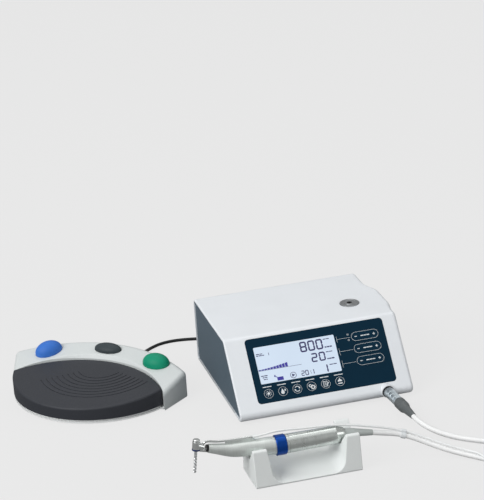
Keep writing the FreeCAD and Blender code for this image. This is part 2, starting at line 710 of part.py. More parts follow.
# Pump door with its rounded hinge edge and stub pins
door_low = door_z[0] + DOOR_GAP
door_high = door_z[1] - DOOR_GAP
door = box((door_outer_x - DOOR_THICK, door_outer_x), (door_y[0] + DOOR_GAP, hinge_y), (door_low, door_high))
door = joined(door, rod(DOOR_THICK / 2, V(hinge_x, hinge_y, door_low), V(hinge_x, hinge_y, door_high)),
              rod(DOOR_PIN_RADIUS, pin_low, pin_high))
finger = rod(7.0, V(door_outer_x + 5.6, door_y[0] + 9, PUMP_Z - 7), V(door_outer_x + 5.6, door_y[0] + 9, PUMP_Z + 7))
add("pump_door", less(door, finger))

# Pump bed with raceway, tube channels and motor can; rotor with three lobes
pump_axis = V(PUMP_RACE_X, PUMP_Y, PUMP_Z)
bed = box(PUMP_BED_X, (PUMP_Y - PUMP_BED_HALF, PUMP_Y + PUMP_BED_HALF),
          (PUMP_Z - PUMP_BED_HALF, PUMP_Z + PUMP_BED_HALF))
bed = less(bed, rod(PUMP_RACE_RADIUS, pump_axis, pump_axis + V(30, 0, 0)))
for side in (-1, 1):
    channel_z = PUMP_Z + side * (PUMP_RACE_RADIUS - 2.5)
    bed = less(bed, box((PUMP_RACE_X, PUMP_BED_X[1] + 1), (PUMP_Y - PUMP_BED_HALF - 1, PUMP_Y),
                        (channel_z - 2.5, channel_z + 2.5)))
can = rod(13.0, V(PUMP_BED_X[0] - 30, PUMP_Y, PUMP_Z), V(PUMP_BED_X[0], PUMP_Y, PUMP_Z))
bed = joined(bed, can)
bed = less(bed, rod(PUMP_SHAFT_RADIUS + RUNNING, pump_axis - V(12, 0, 0), pump_axis))
bed_bracket = box((PUMP_BED_X[0], PUMP_BED_X[0] + 4), (PUMP_Y - 20, PUMP_Y + 20),
                  (base_top, PUMP_Z - PUMP_BED_HALF))
add("pump_bed", joined(bed, bed_bracket))
lobes = [rod(PUMP_SHAFT_RADIUS, pump_axis - V(11.5, 0, 0), pump_axis + V(16, 0, 0)),
         rod(7.0, pump_axis + V(1, 0, 0), pump_axis + V(16, 0, 0))]
for i in range(3):
    angle = math.radians(90 + 120 * i)
    reach = PUMP_ROTOR_REACH - PUMP_ROLLER_RADIUS
    offset = V(0, reach * math.cos(angle), reach * math.sin(angle))
    lobes.append(rod(PUMP_ROLLER_RADIUS, pump_axis + V(2, 0, 0) + offset, pump_axis + V(15, 0, 0) + offset))
add("pump_rotor", joined(*lobes))

# Key panel overlay, display, keys and control board
round_keys = [(ROUND_KEY_U0 + ROUND_KEY_PITCH * i, ROUND_KEY_V) for i in range(ROUND_KEY_COUNT)]
overlay_w = (-OVERLAY_RECESS, OVERLAY_THICK - OVERLAY_RECESS)
overlay = panel_plate(OVERLAY_U, OVERLAY_V, OVERLAY_ROUND, overlay_w)
overlay_cuts = [panel_plate(LCD_U, LCD_V, LCD_ROUND, (-3, 3))]
for u, v in round_keys:
    overlay_cuts.append(rod(ROUND_KEY_RADIUS, V(u, v, -3), V(u, v, 3)))
for v in PILL_V:
    overlay_cuts.append(pill(PILL_U, v, PILL_LENGTH, PILL_HEIGHT, (-3, 3)))
add("panel_overlay", in_panel(less(overlay, *overlay_cuts)))

glass = panel_plate((LCD_U[0] + SLIDING, LCD_U[1] - SLIDING), (LCD_V[0] + SLIDING, LCD_V[1] - SLIDING),
                    LCD_ROUND, (-OVERLAY_RECESS - SEAM, overlay_w[1] - 0.25))
lcd_body = panel_plate((LCD_U[0] - LCD_FRAME, LCD_U[1] + LCD_FRAME), (LCD_V[0] - LCD_FRAME, LCD_V[1] + LCD_FRAME),
                       LCD_ROUND, (BOARD_W, BOARD_W + LCD_BODY_DEPTH))
add("lcd_module", in_panel(joined(glass, lcd_body)))

flange_top = -OVERLAY_RECESS - SEAM / 2
flange_low = flange_top - KEY_FLANGE_THICK
for i, (u, v) in enumerate(round_keys):
    cap = rod(ROUND_KEY_RADIUS - SLIDING, V(u, v, flange_low), V(u, v, overlay_w[1] + KEY_PROUD))
    cap = filleted(cap, 0.25, lambda edge: edge.Closed and edge.CenterOfMass.z > 0)
    flange = rod(ROUND_KEY_RADIUS + KEY_FLANGE, V(u, v, flange_low), V(u, v, flange_top))
    stem = rod(KEY_STEM_RADIUS, V(u, v, KEY_STEM_END), V(u, v, flange_low))
    add("round_key_%d" % (i + 1), in_panel(joined(cap, flange, stem)))
for i, v in enumerate(PILL_V):
    cap = pill(PILL_U, v, PILL_LENGTH - 2 * SLIDING, PILL_HEIGHT - 2 * SLIDING,
               (flange_low, overlay_w[1] + KEY_PROUD))
    flange = pill(PILL_U, v, PILL_LENGTH + 2 * KEY_FLANGE, PILL_HEIGHT + 2 * KEY_FLANGE,
                  (flange_low, flange_top - 0.55))
    pivot = rod(1.0, V(PILL_U, v - 3, flange_low), V(PILL_U, v + 3, flange_low))
    stems = [rod(KEY_STEM_RADIUS, V(PILL_U + side * PILL_STEM_SPREAD, v, KEY_STEM_END),
                 V(PILL_U + side * PILL_STEM_SPREAD, v, flange_low)) for side in (-1, 1)]
    add("rocker_key_%d" % (i + 1), in_panel(joined(cap, flange, pivot, *stems)))

board_parts = [panel_plate(BOARD_U, BOARD_V, 3.0, (BOARD_W - BOARD_THICK, BOARD_W))]
switch_spots = list(round_keys)
for v in PILL_V:
    switch_spots += [(PILL_U - PILL_STEM_SPREAD, v), (PILL_U + PILL_STEM_SPREAD, v)]
switch_top = KEY_STEM_END - PRESS_ROOM
for u, v in switch_spots:
    board_parts.append(centred_box((u, v, (BOARD_W + switch_top) / 2),
                                   (SWITCH_SIZE, SWITCH_SIZE, switch_top - BOARD_W)))
for u, v, size_u, size_v, tall in ((60, 60, 16, 16, 2.2), (100, 50, 20, 14, 2.0), (150, 70, 14, 24, 5.0),
                                   (75, 90, 30, 8, 6.0), (190, 60, 24, 20, 8.0)):
    low = BOARD_W - BOARD_THICK - tall
    board_parts.append(centred_box((u, v, (low + BOARD_W - BOARD_THICK) / 2 + 0.05), (size_u, size_v, tall + 0.1)))
board = less(joined(*board_parts), *[rod(CASE_SCREW_RADIUS + RUNNING, V(u, v, BOARD_W - 4), V(u, v, BOARD_W + 1))
                                     for u, v in board_posts])
notches = [rod(CASE_BOSS_RADIUS + BOARD_NOTCH, V(x, CASE_SCREW_FRONT_Y, 0), V(x, CASE_SCREW_FRONT_Y, z_top))
           for x in CASE_SCREW_X]
add("control_board", less(in_panel(board), *notches))

# Power supply: board, transformer, capacitors and a finned heat sink
supply_z = base_top + SUPPLY_STAND
supply_top = supply_z + SUPPLY_BOARD
supply = [box(SUPPLY_X, SUPPLY_Y, (supply_z, supply_top)),
          box((SUPPLY_X[0] + 12, SUPPLY_X[0] + 50), (SUPPLY_Y[0] + 14, SUPPLY_Y[0] + 48), (supply_top, supply_top + 30)),
          box((SUPPLY_X[0] + 6, SUPPLY_X[0] + 56), (SUPPLY_Y[0] + 20, SUPPLY_Y[0] + 42), (supply_top + 6, supply_top + 24)),
          box((SUPPLY_X[1] - 40, SUPPLY_X[1] - 6), (SUPPLY_Y[0] + 16, SUPPLY_Y[1] - 16), (supply_top, supply_top + 4))]
for i in range(6):
    fin_x = SUPPLY_X[1] - 40 + 6.4 * i
    supply.append(box((fin_x, fin_x + 2), (SUPPLY_Y[0] + 16, SUPPLY_Y[1] - 16), (supply_top, supply_top + 26)))
for i in range(3):
    spot = V(SUPPLY_X[0] + 16 + 18 * i, SUPPLY_Y[1] - 20, supply_top - 0.5)
    supply.append(rod(7.0, spot, spot + V(0, 0, 26)))
add("power_supply", joined(*supply))

# Rubber feet of the console and of the foot control are the same moulding
foot_frame = Placement(V(FOOT_X, FOOT_Y, 0), Rotation(V(0, 0, 1), FOOT_YAW))
feet = []
for x in (24.0, 222.0):
    for y in (58.0, 212.0):
        feet.append(taper(FOOT_RADIUS - 0.8, FOOT_RADIUS, V(x, y, 0), V(x, y, z_low)))
for u, v in FOOT_PADS:
    foot = taper(FOOT_RADIUS - 0.8, FOOT_RADIUS, V(u, v, 0), V(u, v, z_low))
    feet.append(placed(foot, foot_frame))
add("rubber_feet", Part.makeCompound(feet))

# Motor socket: dark ring in the collar, with a blind bore for the plug
socket = joined(rod(SOCKET_FLANGE_RADIUS, along_plug(0.4), along_plug(-SOCKET_FLANGE_THICK)),
                rod(SOCKET_BODY_RADIUS, along_plug(-SOCKET_FLANGE_THICK), along_plug(-SOCKET_DEPTH)))
add("motor_socket", less(socket, rod(PLUG_RADIUS + RUNNING, along_plug(2), along_plug(-PLUG_INSERT - 0.5))))

# Stand rod socket
rod_top = z_top + ROD_DISC_PROUD
rod_profile = [(0, ROD_BORE_RADIUS), (-ROD_BORE_DEPTH, ROD_BORE_RADIUS), (-ROD_BORE_DEPTH, ROD_TUBE_RADIUS),
               (-2.0, ROD_TUBE_RADIUS), (-2.0, ROD_DISC_RADIUS), (-0.5, ROD_DISC_RADIUS),
               (-0.1, ROD_DISC_RADIUS - 0.5), (-0.1, ROD_DISC_RADIUS - 2.4), (-0.6, ROD_DISC_RADIUS - 3.0),
               (-0.6, ROD_TUBE_RADIUS + 0.6), (0, ROD_TUBE_RADIUS)]
add("stand_rod_socket", revolved(rod_profile, V(ROD_X, ROD_Y, rod_top), V(0, 0, 1), V(1, 0, 0)))

# Mains inlet with three flat pins, mains switch, and the foot control's socket
rear_y = CASE_DEPTH
inlet = joined(box((INLET_X - INLET_SIZE[0] / 2 - 2, INLET_X + INLET_SIZE[0] / 2 + 2), (rear_y, rear_y + 1.6),
                   (INLET_Z - INLET_SIZE[1] / 2 - 2, INLET_Z + INLET_SIZE[1] / 2 + 2)),
               box((INLET_X - INLET_SIZE[0] / 2, INLET_X + INLET_SIZE[0] / 2), (rear_y - INLET_DEPTH, rear_y),
                   (INLET_Z - INLET_SIZE[1] / 2, INLET_Z + INLET_SIZE[1] / 2)))
cavity_floor = rear_y + 1.6 - INLET_CAVITY_DEPTH
inlet = less(inlet, box((INLET_X - INLET_CAVITY[0] / 2, INLET_X + INLET_CAVITY[0] / 2), (cavity_floor, rear_y + 3),
                        (INLET_Z - INLET_CAVITY[1] / 2, INLET_Z + INLET_CAVITY[1] / 2)))
for dx, dz in ((-7, 2.0), (7, 2.0), (0, -2.0)):
    inlet = joined(inlet, box((INLET_X + dx - 1, INLET_X + dx + 1), (cavity_floor - 1, cavity_floor + INLET_PIN_LENGTH),
                              (INLET_Z + dz - 2, INLET_Z + dz + 2)))
add("mains_inlet", inlet)
switch_axis = V(SWITCH_X, rear_y - 1.0, INLET_Z)
half_x = SWITCH_OPENING[0] / 2 - 0.2
wedge = [V(SWITCH_X - half_x, rear_y - 1.0, INLET_Z - 9.0), V(SWITCH_X - half_x, rear_y + 1.6, INLET_Z - 9.0),
         V(SWITCH_X - half_x, rear_y + 2.0, INLET_Z), V(SWITCH_X - half_x, rear_y + 4.3, INLET_Z + 8.6),
         V(SWITCH_X - half_x, rear_y - 1.0, INLET_Z + 9.0), V(SWITCH_X - half_x, rear_y - 7.0, INLET_Z)]
wedge.append(wedge[0])
paddle = Part.Face(Part.makePolygon(wedge)).extrude(V(2 * half_x, 0, 0))
switch_pivot = rod(1.5, switch_axis - V(half_x + 0.5, 0, 0), switch_axis + V(half_x + 0.5, 0, 0))
add("mains_switch", joined(paddle, switch_pivot))
foot_socket_at = V(FOOT_SOCKET_X, rear_y, FOOT_SOCKET_Z)
foot_socket = joined(rod(FOOT_SOCKET_RADIUS + 2, foot_socket_at, foot_socket_at + V(0, 1.6, 0)),
                     rod(FOOT_SOCKET_RADIUS, foot_socket_at - V(0, 16, 0), foot_socket_at))
add("foot_socket", less(foot_socket, rod(FOOT_PLUG_RADIUS + RUNNING, foot_socket_at - V(0, 12, 0),
                                         foot_socket_at + V(0, 3, 0))))

# Foot control

def in_foot(shape):
    """Shape from the foot control's frame in the console's."""
    return placed(shape, foot_frame)


def arc_circle(sagitta):
    """Radius and centre of an arc over the pedal's chord."""
    radius = (PEDAL_HALF ** 2 + sagitta ** 2) / (2 * abs(sagitta))
    return radius, sagitta - math.copysign(radius, sagitta)


front_arc_radius, front_arc_v = arc_circle(-PEDAL_FRONT_SAGITTA)
rear_arc_radius, rear_arc_v = arc_circle(PEDAL_REAR_SAGITTA)


def lens(front_inset, rear_inset, z0, z1):
    """Upright prism on the pedal's plan, with both arcs moved inwards."""
    front = front_arc_radius - front_inset
    rear = rear_arc_radius - rear_inset
    tip_v = (rear ** 2 - front ** 2 + front_arc_v ** 2 - rear_arc_v ** 2) / (2 * (front_arc_v - rear_arc_v))
    tip_u = math.sqrt(front ** 2 - (tip_v - front_arc_v) ** 2)
    left = V(-tip_u, tip_v, z0)
    right = V(tip_u, tip_v, z0)
    edges = [Part.Arc(left, V(0, front_arc_v - front, z0), right).toShape(),
             Part.Arc(right, V(0, rear_arc_v + rear, z0), left).toShape()]
    return Part.Face(Part.Wire(edges)).extrude(V(0, 0, z1 - z0))


def under_slope(front_z, rise, low):
    """Large wedge below a plane that rises towards the back."""
    corners = [V(-200, -150, low), V(-200, 150, low), V(-200, 150, front_z + rise * 150),
               V(-200, -150, front_z - rise * 150)]
    corners.append(corners[0])
    return Part.Face(Part.makePolygon(corners)).extrude(V(400, 0, 0))


def ring_sector(centre, radius, width, z, start, sweep):
    """Part of a flat ring, between two angles."""
    sector = Part.makeCylinder(radius + width / 2, z[1] - z[0], centre + V(0, 0, z[0]), V(0, 0, 1), sweep)
    sector = sector.cut(Part.makeCylinder(radius - width / 2, z[1] - z[0], centre + V(0, 0, z[0])))
    sector.rotate(centre, V(0, 0, 1), start)
    return sector


pedal_mid_z = PEDAL_FRONT_Z + PEDAL_TOP_SLOPE * PEDAL_FRONT_SAGITTA
far = 60.0
pedal_outer = lens(0, 0, PEDAL_SKIRT_Z, far).common(under_slope(pedal_mid_z, PEDAL_TOP_SLOPE, 0))
pedal_outer = filleted(pedal_outer, PEDAL_TOP_ROUND,
                       lambda edge: edge.BoundBox.ZMin > PEDAL_FRONT_Z - 2 and edge.BoundBox.XLength > 50)
pedal_inner = lens(PEDAL_WALL, PEDAL_WALL, PEDAL_SKIRT_Z - 1, far)
pedal_inner = pedal_inner.common(under_slope(pedal_mid_z - PEDAL_WALL, PEDAL_TOP_SLOPE, 0))
pedal = less(pedal_outer, pedal_inner)
top_angle = math.degrees(math.atan(PEDAL_TOP_SLOPE))
rib_u, rib_v = PEDAL_RIB_CENTRE
groove_frame = Placement(V(rib_u, rib_v, pedal_mid_z + PEDAL_TOP_SLOPE * rib_v), Rotation(V(1, 0, 0), top_angle))
for i in range(PEDAL_RIB_COUNT):
    groove = ring_sector(V(0, 0, 0), PEDAL_RIB_FIRST + PEDAL_RIB_PITCH * i, PEDAL_RIB_WIDTH,
                         (-PEDAL_RIB_DEPTH, 1), PEDAL_RIB_FROM, PEDAL_RIB_SWEEP)
    pedal = less(pedal, placed(groove, groove_frame))
hinge_parts = []
for side in (-1, 1):
    u = side * PEDAL_HINGE_U
    ear = box((u - 3, u + 3), (PEDAL_HINGE_V - 5, PEDAL_HINGE_V + 5), (PEDAL_HINGE_Z - 5, far))
    ear = ear.common(lens(0, 0.5, 0, far)).common(under_slope(pedal_mid_z - PEDAL_WALL / 2, PEDAL_TOP_SLOPE, 0))
    hinge_parts.append(ear)
    hinge_parts.append(rod(PEDAL_PIN_RADIUS, V(u - 9, PEDAL_HINGE_V, PEDAL_HINGE_Z), V(u + 9, PEDAL_HINGE_V, PEDAL_HINGE_Z)))
add("foot_pedal", in_foot(joined(pedal, *hinge_parts)))


def housing_plan(wall, low, high, corner):
    """Upright prism on the housing's outline, moved inwards by a wall."""
    a, b = [V(u, v, low) for u, v in HOUSING_LEFT]
    d, c = [V(u, v, low) for u, v in HOUSING_RIGHT]
    back = Part.Arc(b, V(0, HOUSING_BACK_V, low), c).toShape()
    edges = [Part.LineSegment(a, b).toShape(), back, Part.LineSegment(c, d).toShape(), Part.LineSegment(d, a).toShape()]
    face = Part.Face(Part.Wire(edges))
    prism = face.extrude(V(0, 0, high - low))
    upright = [edge for edge in prism.Edges if edge.BoundBox.ZLength > 1 and edge.BoundBox.YMin > 40]
    prism = prism.makeFillet(corner, upright)
    if wall > 0:
        outline = [edge for edge in prism.Edges if edge.BoundBox.ZMax < low + 0.01]
        face = Part.Face(Part.Wire(Part.__sortEdges__(outline))).makeOffset2D(-wall)
        prism = face.extrude(V(0, 0, high - low))
    return prism


def top_outline(edge):
    """Edges round the outside of the housing's top."""
    bounds = edge.BoundBox
    centre = edge.CenterOfMass
    inner_arc = bounds.XLength > 150 and centre.y < PEDAL_REAR_SAGITTA
    front_ends = bounds.YLength < 1 or bounds.XLength < 14 and bounds.YLength < 3
    return bounds.ZMin > 22 and bounds.ZMax < far - 1 and not inner_arc and not front_ends


housing = housing_plan(0, HOUSING_SKIRT_Z, far, HOUSING_CORNER).common(under_slope(HOUSING_FRONT_Z, HOUSING_SLOPE, -10))
housing = filleted(housing, HOUSING_ROUND, top_outline)
housing = less(housing, lens(-far, -HOUSING_GAP, -1, far))
# Bevel that lets the housing's top run down to the pedal's rear edge
sill_radius = rear_arc_radius + HOUSING_GAP
sill_z = pedal_mid_z + PEDAL_TOP_SLOPE * (rear_arc_v + sill_radius) + HOUSING_SILL
bevel = Part.makeCone(sill_radius, sill_radius + 20 / HOUSING_BEVEL_RISE, 20, V(0, rear_arc_v, sill_z))
housing = less(housing, bevel)
housing = filleted(housing, HOUSING_BEVEL_ROUND,
                   lambda edge: edge.BoundBox.XLength > 60 and sill_z + 1 < edge.BoundBox.ZMax < sill_z + 12
                   and edge.BoundBox.ZMin > sill_z - 0.5 and edge.BoundBox.YMax < 70 and edge.BoundBox.ZLength > 1.5)
room = housing_plan(HOUSING_WALL, -1, far, HOUSING_CORNER)
room = room.common(under_slope(HOUSING_FRONT_Z - HOUSING_WALL, HOUSING_SLOPE, -10))
room = filleted(room, HOUSING_ROUND - HOUSING_WALL, top_outline)
room = less(room, lens(-far, -HOUSING_GAP - HOUSING_WALL, -2, far))
room_bevel = Part.makeCone(sill_radius, sill_radius + 24 / HOUSING_BEVEL_RISE, 24,
                           V(0, rear_arc_v, sill_z - HOUSING_WALL * math.hypot(1, HOUSING_BEVEL_RISE)))
room = less(room, room_bevel)
base_top_z = FOOT_BASE_Z + FOOT_BASE_THICK
lip_room = placed(room, Placement(V(0, 0, -2 * SLIDING), Rotation()))
skirt_room = housing_plan(HOUSING_WALL, -1, base_top_z + SEAM, HOUSING_CORNER)
housing = less(housing, room, skirt_room)

# Base plate with its rim inside the pedal's skirt, hinge posts, board legs and cups for the feet
rim_inset = PEDAL_WALL + RIM_GAP
base_plate = joined(lens(0.5, rim_inset, FOOT_BASE_Z, base_top_z),
                    housing_plan(HOUSING_WALL + SEAM, FOOT_BASE_Z, base_top_z, HOUSING_CORNER))
rim = less(lens(rim_inset, rim_inset, FOOT_BASE_Z, PEDAL_SKIRT_Z + 4), lens(rim_inset + 2.2, -far, 0, far))
housing_ends = less(housing_plan(0, 0, far, HOUSING_CORNER), housing_plan(HOUSING_WALL + SEAM, -1, far + 1, HOUSING_CORNER))
base_parts = [base_plate, rim]
for side in (-1, 1):
    for step in (-6.5, 6.5):
        u = side * PEDAL_HINGE_U + step
        post = box((u - 2, u + 2), (PEDAL_HINGE_V - 4, PEDAL_HINGE_V + 4), (FOOT_BASE_Z + 1, PEDAL_HINGE_Z + 4.2))
        base_parts.append(less(post, rod(PEDAL_PIN_RADIUS + RUNNING, V(u - 5, PEDAL_HINGE_V, PEDAL_HINGE_Z),
                                         V(u + 5, PEDAL_HINGE_V, PEDAL_HINGE_Z))))
for u, v in FOOT_PADS:
    base_parts.append(rod(FOOT_RADIUS + 1.8, V(u, v, FOOT_BASE_Z), V(u, v, z_low + 1.6)))
pad_recesses = [rod(FOOT_RADIUS + SEAM, V(u, v, 0), V(u, v, z_low)) for u, v in FOOT_PADS]

# Return spring under the pedal
spring_top = pedal_mid_z - PEDAL_WALL + PEDAL_TOP_SLOPE * PEDAL_SPRING_V - 0.8
spring = less(rod(PEDAL_SPRING_RADIUS, V(0, PEDAL_SPRING_V, base_top_z), V(0, PEDAL_SPRING_V, spring_top)),
              rod(PEDAL_SPRING_RADIUS - 1.2, V(0, PEDAL_SPRING_V, 0), V(0, PEDAL_SPRING_V, far)))
add("pedal_spring", in_foot(spring))

# Domed buttons in the sloping top, and the board with a switch under each
slope_angle = math.degrees(math.atan(HOUSING_SLOPE))


def oval(half_long, half_wide, low, high):
    """Upright elliptical prism."""
    return Part.Face(Part.Wire(Part.Ellipse(V(0, 0, low), half_long, half_wide).toShape())).extrude(V(0, 0, high - low))


def dome(half_long, half_wide, height):
    """Upper half of an ellipsoid."""
    scale = Matrix()
    scale.scale(V(half_long, half_wide, height))
    return Part.makeSphere(1.0, V(0, 0, 0), V(0, 0, 1), 0, 90, 360).transformGeometry(scale)


board_parts = []
board_top_z = FOOT_BOARD_Z + FOOT_BOARD_THICK
back_radius = (130.0 ** 2 + 44.0 ** 2) / 88.0
board_centre = V(0, HOUSING_BACK_V - back_radius, 0)
board_parts.append(ring_sector(board_centre, back_radius - 22.5, 9.0, (FOOT_BOARD_Z, board_top_z), 62.5, 54.0))
for colour, (u, v, half_long, half_wide, turn, crown_height) in BUTTONS.items():
    frame_here = Placement(V(u, v, HOUSING_FRONT_Z + HOUSING_SLOPE * v), Rotation(V(1, 0, 0), slope_angle))
    frame_here = frame_here.multiply(Placement(V(0, 0, 0), Rotation(V(0, 0, 1), turn)))
    housing = less(housing, placed(oval(half_long + 2 * SLIDING, half_wide + 2 * SLIDING, -9, 9), frame_here))
    crown = dome(half_long, half_wide, crown_height)
    crown.translate(V(0, 0, BUTTON_STANDS))
    lip_top = -HOUSING_WALL - 2 * SLIDING
    body = oval(half_long, half_wide, -BUTTON_SKIRT, BUTTON_STANDS)
    lip = oval(half_long + BUTTON_LIP, half_wide + BUTTON_LIP, -BUTTON_SKIRT, lip_top)
    stem_end = -BUTTON_SKIRT - BUTTON_STEM
    stem = rod(BUTTON_STEM_RADIUS, V(0, 0, stem_end), V(0, 0, -BUTTON_SKIRT))
    lip = less(placed(lip, frame_here).common(lip_room), lens(-far, -HOUSING_GAP - HOUSING_WALL - 2 * SLIDING, -2, far))
    add("foot_button_" + colour, in_foot(joined(placed(joined(crown, body, stem), frame_here), lip)))
    spot = frame_here.multVec(V(0, 0, stem_end - BUTTON_TRAVEL - 0.3))
    board_parts.append(rod(BUTTON_STEM_RADIUS + 1.5, V(spot.x, spot.y, FOOT_BOARD_Z), V(spot.x, spot.y, spot.z - 1.0)))
    board_parts.append(rod(8.0, V(spot.x, spot.y, FOOT_BOARD_Z), V(spot.x, spot.y, board_top_z)))
    base_parts.append(rod(POST_RADIUS, V(spot.x, spot.y, FOOT_BASE_Z + 1), V(spot.x, spot.y, FOOT_BOARD_Z)))
add("foot_base", in_foot(less(joined(*base_parts), less(housing_ends, lens(-far, -HOUSING_GAP, -1, far)), *pad_recesses)))
add("foot_board", in_foot(joined(*board_parts)))

# Cable boot through the back wall
wall_v = board_centre.y + math.sqrt(back_radius ** 2 - CABLE_EXIT_U ** 2)
cable_exit = V(CABLE_EXIT_U, wall_v, CABLE_EXIT_Z)
back_way = V(0, 1, 0)
housing = less(housing, rod(3.6, cable_exit - back_way * 12, cable_exit + back_way * 6))
add("foot_housing", in_foot(housing))
boot_end = cable_exit + back_way * 28
cable_boot = joined(rod(3.4, cable_exit - back_way * (HOUSING_WALL + 1.2), cable_exit + back_way * 2),
                    rod(4.6, cable_exit - back_way * (HOUSING_WALL + 2.6), cable_exit - back_way * (HOUSING_WALL + 1.1)),
                    taper(4.6, 2.9, cable_exit + back_way * 1.2, boot_end))
add("foot_cable_boot", in_foot(cable_boot))

# Handpiece

def hand(x, z=HAND_Z):
    """Point in the handpiece's upright plane."""
    return V(x, HAND_Y, z)


def hand_turned(profile):
    """Solid turned about the motor's axis from (x, radius) pairs."""
    return revolved([(x, radius) for x, radius in profile], V(0, HAND_Y, HAND_Z), V(1, 0, 0), V(0, 0, 1))


chamfer_x = MOTOR_X[1] - MOTOR_CHAMFER
nose_x = MOTOR_X[0] - MOTOR_NOSE_LENGTH
bearing_radius = ROTOR_SHAFT_RADIUS + RUNNING
motor_profile = [(nose_x, bearing_radius), (nose_x, MOTOR_NOSE_RADIUS), (MOTOR_X[0], MOTOR_NOSE_RADIUS),
                 (MOTOR_X[0], MOTOR_FRONT_RADIUS - 0.6), (MOTOR_X[0] + 0.6, MOTOR_FRONT_RADIUS),
                 (chamfer_x, MOTOR_REAR_RADIUS), (MOTOR_X[1] - 2, MOTOR_END_RADIUS + 0.9),
                 (MOTOR_X[1], MOTOR_END_RADIUS), (MOTOR_X[1], 3.8), (chamfer_x - 2, 3.8),
                 (chamfer_x - 2, MAGNET_RADIUS + 0.8), (MOTOR_X[0] + 6, MAGNET_RADIUS + 0.8),
                 (MOTOR_X[0] + 6, bearing_radius)]
motor = hand_turned(motor_profile)
for groove_x in (MOTOR_X[0] + 3.5, chamfer_x - 3.0):
    groove = less(rod(16, hand(groove_x), hand(groove_x + 0.7)),
                  rod(MOTOR_REAR_RADIUS - 0.1, hand(groove_x - 1), hand(groove_x + 2)))
    motor = less(motor, groove)
add("motor_housing", motor)
rotor_end = chamfer_x - 4
add("motor_rotor", hand_turned([(nose_x - 3, 0), (nose_x - 3, ROTOR_SHAFT_RADIUS), (MOTOR_X[0] + 8, ROTOR_SHAFT_RADIUS),
                                (MOTOR_X[0] + 8, MAGNET_RADIUS), (rotor_end, MAGNET_RADIUS), (rotor_end, 0)]))

# Spray pipe: from the neck block over the sheath
pipe_points = [hand(-88.4, 60.2), hand(-86.8, 62.3), hand(-84.2, 63.5), hand(-80.4, 63.0), hand(-75.5, 61.7),
               hand(-68.3, 60.4), hand(-54.0, 59.4), hand(-39.0, 58.8), hand(-24.0, 58.5)]
pipe_edges, pipe_radii = tube_route(pipe_points)
add("spray_pipe", swept(pipe_edges, PIPE_RADIUS))

# Rear sleeve carries the blue ring; the sheath narrows and bends up to the head
sleeve_radius = BAND_RADIUS - 2.4


def sheath_loft(wall):
    """Smooth body through the sheath's sections, moved inwards by a wall."""
    rings = []
    for x, z, radius, tilt in SHEATH:
        way = V(-math.cos(math.radians(tilt)), 0, math.sin(math.radians(tilt)))
        rings.append(Part.Wire(Part.Circle(hand(x, z), way, radius - wall).toShape()))
    return Part.makeLoft(rings, True, False)


first_x = SHEATH[0][0]
front_x, front_z, front_radius, front_tilt = SHEATH[-1]
neck_way = V(-math.cos(math.radians(front_tilt)), 0, math.sin(math.radians(front_tilt)))
neck_end = hand(front_x, front_z - NECK_DROP)
neck_start = neck_end + neck_way * 11.0
sleeve = rod(sleeve_radius, hand(first_x - 1), hand(MOTOR_X[0] - SEAM))
saddle_corners = [hand(-62.0, 51.0), hand(-57.5, 59.8), hand(-26.0, 58.7), hand(-16.0, 51.0)]
saddle = rounded_prism([corner - V(0, 2.3, 0) for corner in saddle_corners], [0, 1.5, 1.5, 0], V(0, 4.6, 0))
cap_start = hand(front_x, front_z) - neck_way * 2.4
front_cap = rod(front_radius - 0.3, cap_start, hand(front_x, front_z))
solid_sheath = joined(sheath_loft(0), saddle)
sheath = joined(less(solid_sheath, sheath_loft(SHEATH_WALL)), front_cap, sleeve)
sheath = less(sheath, rod(MOTOR_NOSE_RADIUS + RUNNING, hand(nose_x - 0.5), hand(MOTOR_X[0] + 1)),
              rod(NECK_RADIUS + SEAM / 2, neck_end - neck_way * 6, neck_end + neck_way * 6),
              swept(pipe_edges, PIPE_RADIUS + PIPE_SEAT))
add("contra_angle_sheath", sheath)
band = less(rod(BAND_RADIUS, hand(BAND_X[0]), hand(BAND_X[1])),
            rod(sleeve_radius + SEAM / 4, hand(BAND_X[0] - 1), hand(BAND_X[1] + 1)))
band = filleted(band, 0.9, lambda edge: edge.Closed and edge.BoundBox.ZLength > 2 * BAND_RADIUS - 0.1)
add("blue_band", band)

head_axis = V(math.sin(math.radians(HEAD_TILT)), 0, math.cos(math.radians(HEAD_TILT)))
head_at = hand(HEAD_X, HEAD_Z)
head = rod(HEAD_RADIUS, head_at - head_axis * HEAD_DOWN, head_at + head_axis * HEAD_UP)
head = filleted(head, HEAD_ROUND, lambda edge: edge.Closed)
neck = rod(NECK_RADIUS, neck_start, neck_end - neck_way * 3)
block = taper(4.7, 4.1, hand(HEAD_X + 1, 59.6), hand(-88.3, 56.2))
block = filleted(block, 1.0, lambda edge: edge.Closed and edge.CenterOfMass.x > -90)
head = joined(head, neck, block)
head = less(head, rod(HEAD_BORE, head_at - head_axis * (HEAD_DOWN - 1.2), head_at + head_axis * (HEAD_UP - 1.0)),
            rod(SPINDLE_RADIUS + RUNNING, head_at - head_axis * (HEAD_DOWN + 1), head_at),
            rod(HEAD_BUTTON_RADIUS - 1.6 + RUNNING, head_at, head_at + head_axis * (HEAD_UP + 1)),
            rod(SHAFT_RADIUS + RUNNING, neck_start + neck_way * 9, neck_end - neck_way * 6),
            swept(pipe_edges, PIPE_RADIUS + PIPE_SEAT))
add("head_housing", head)

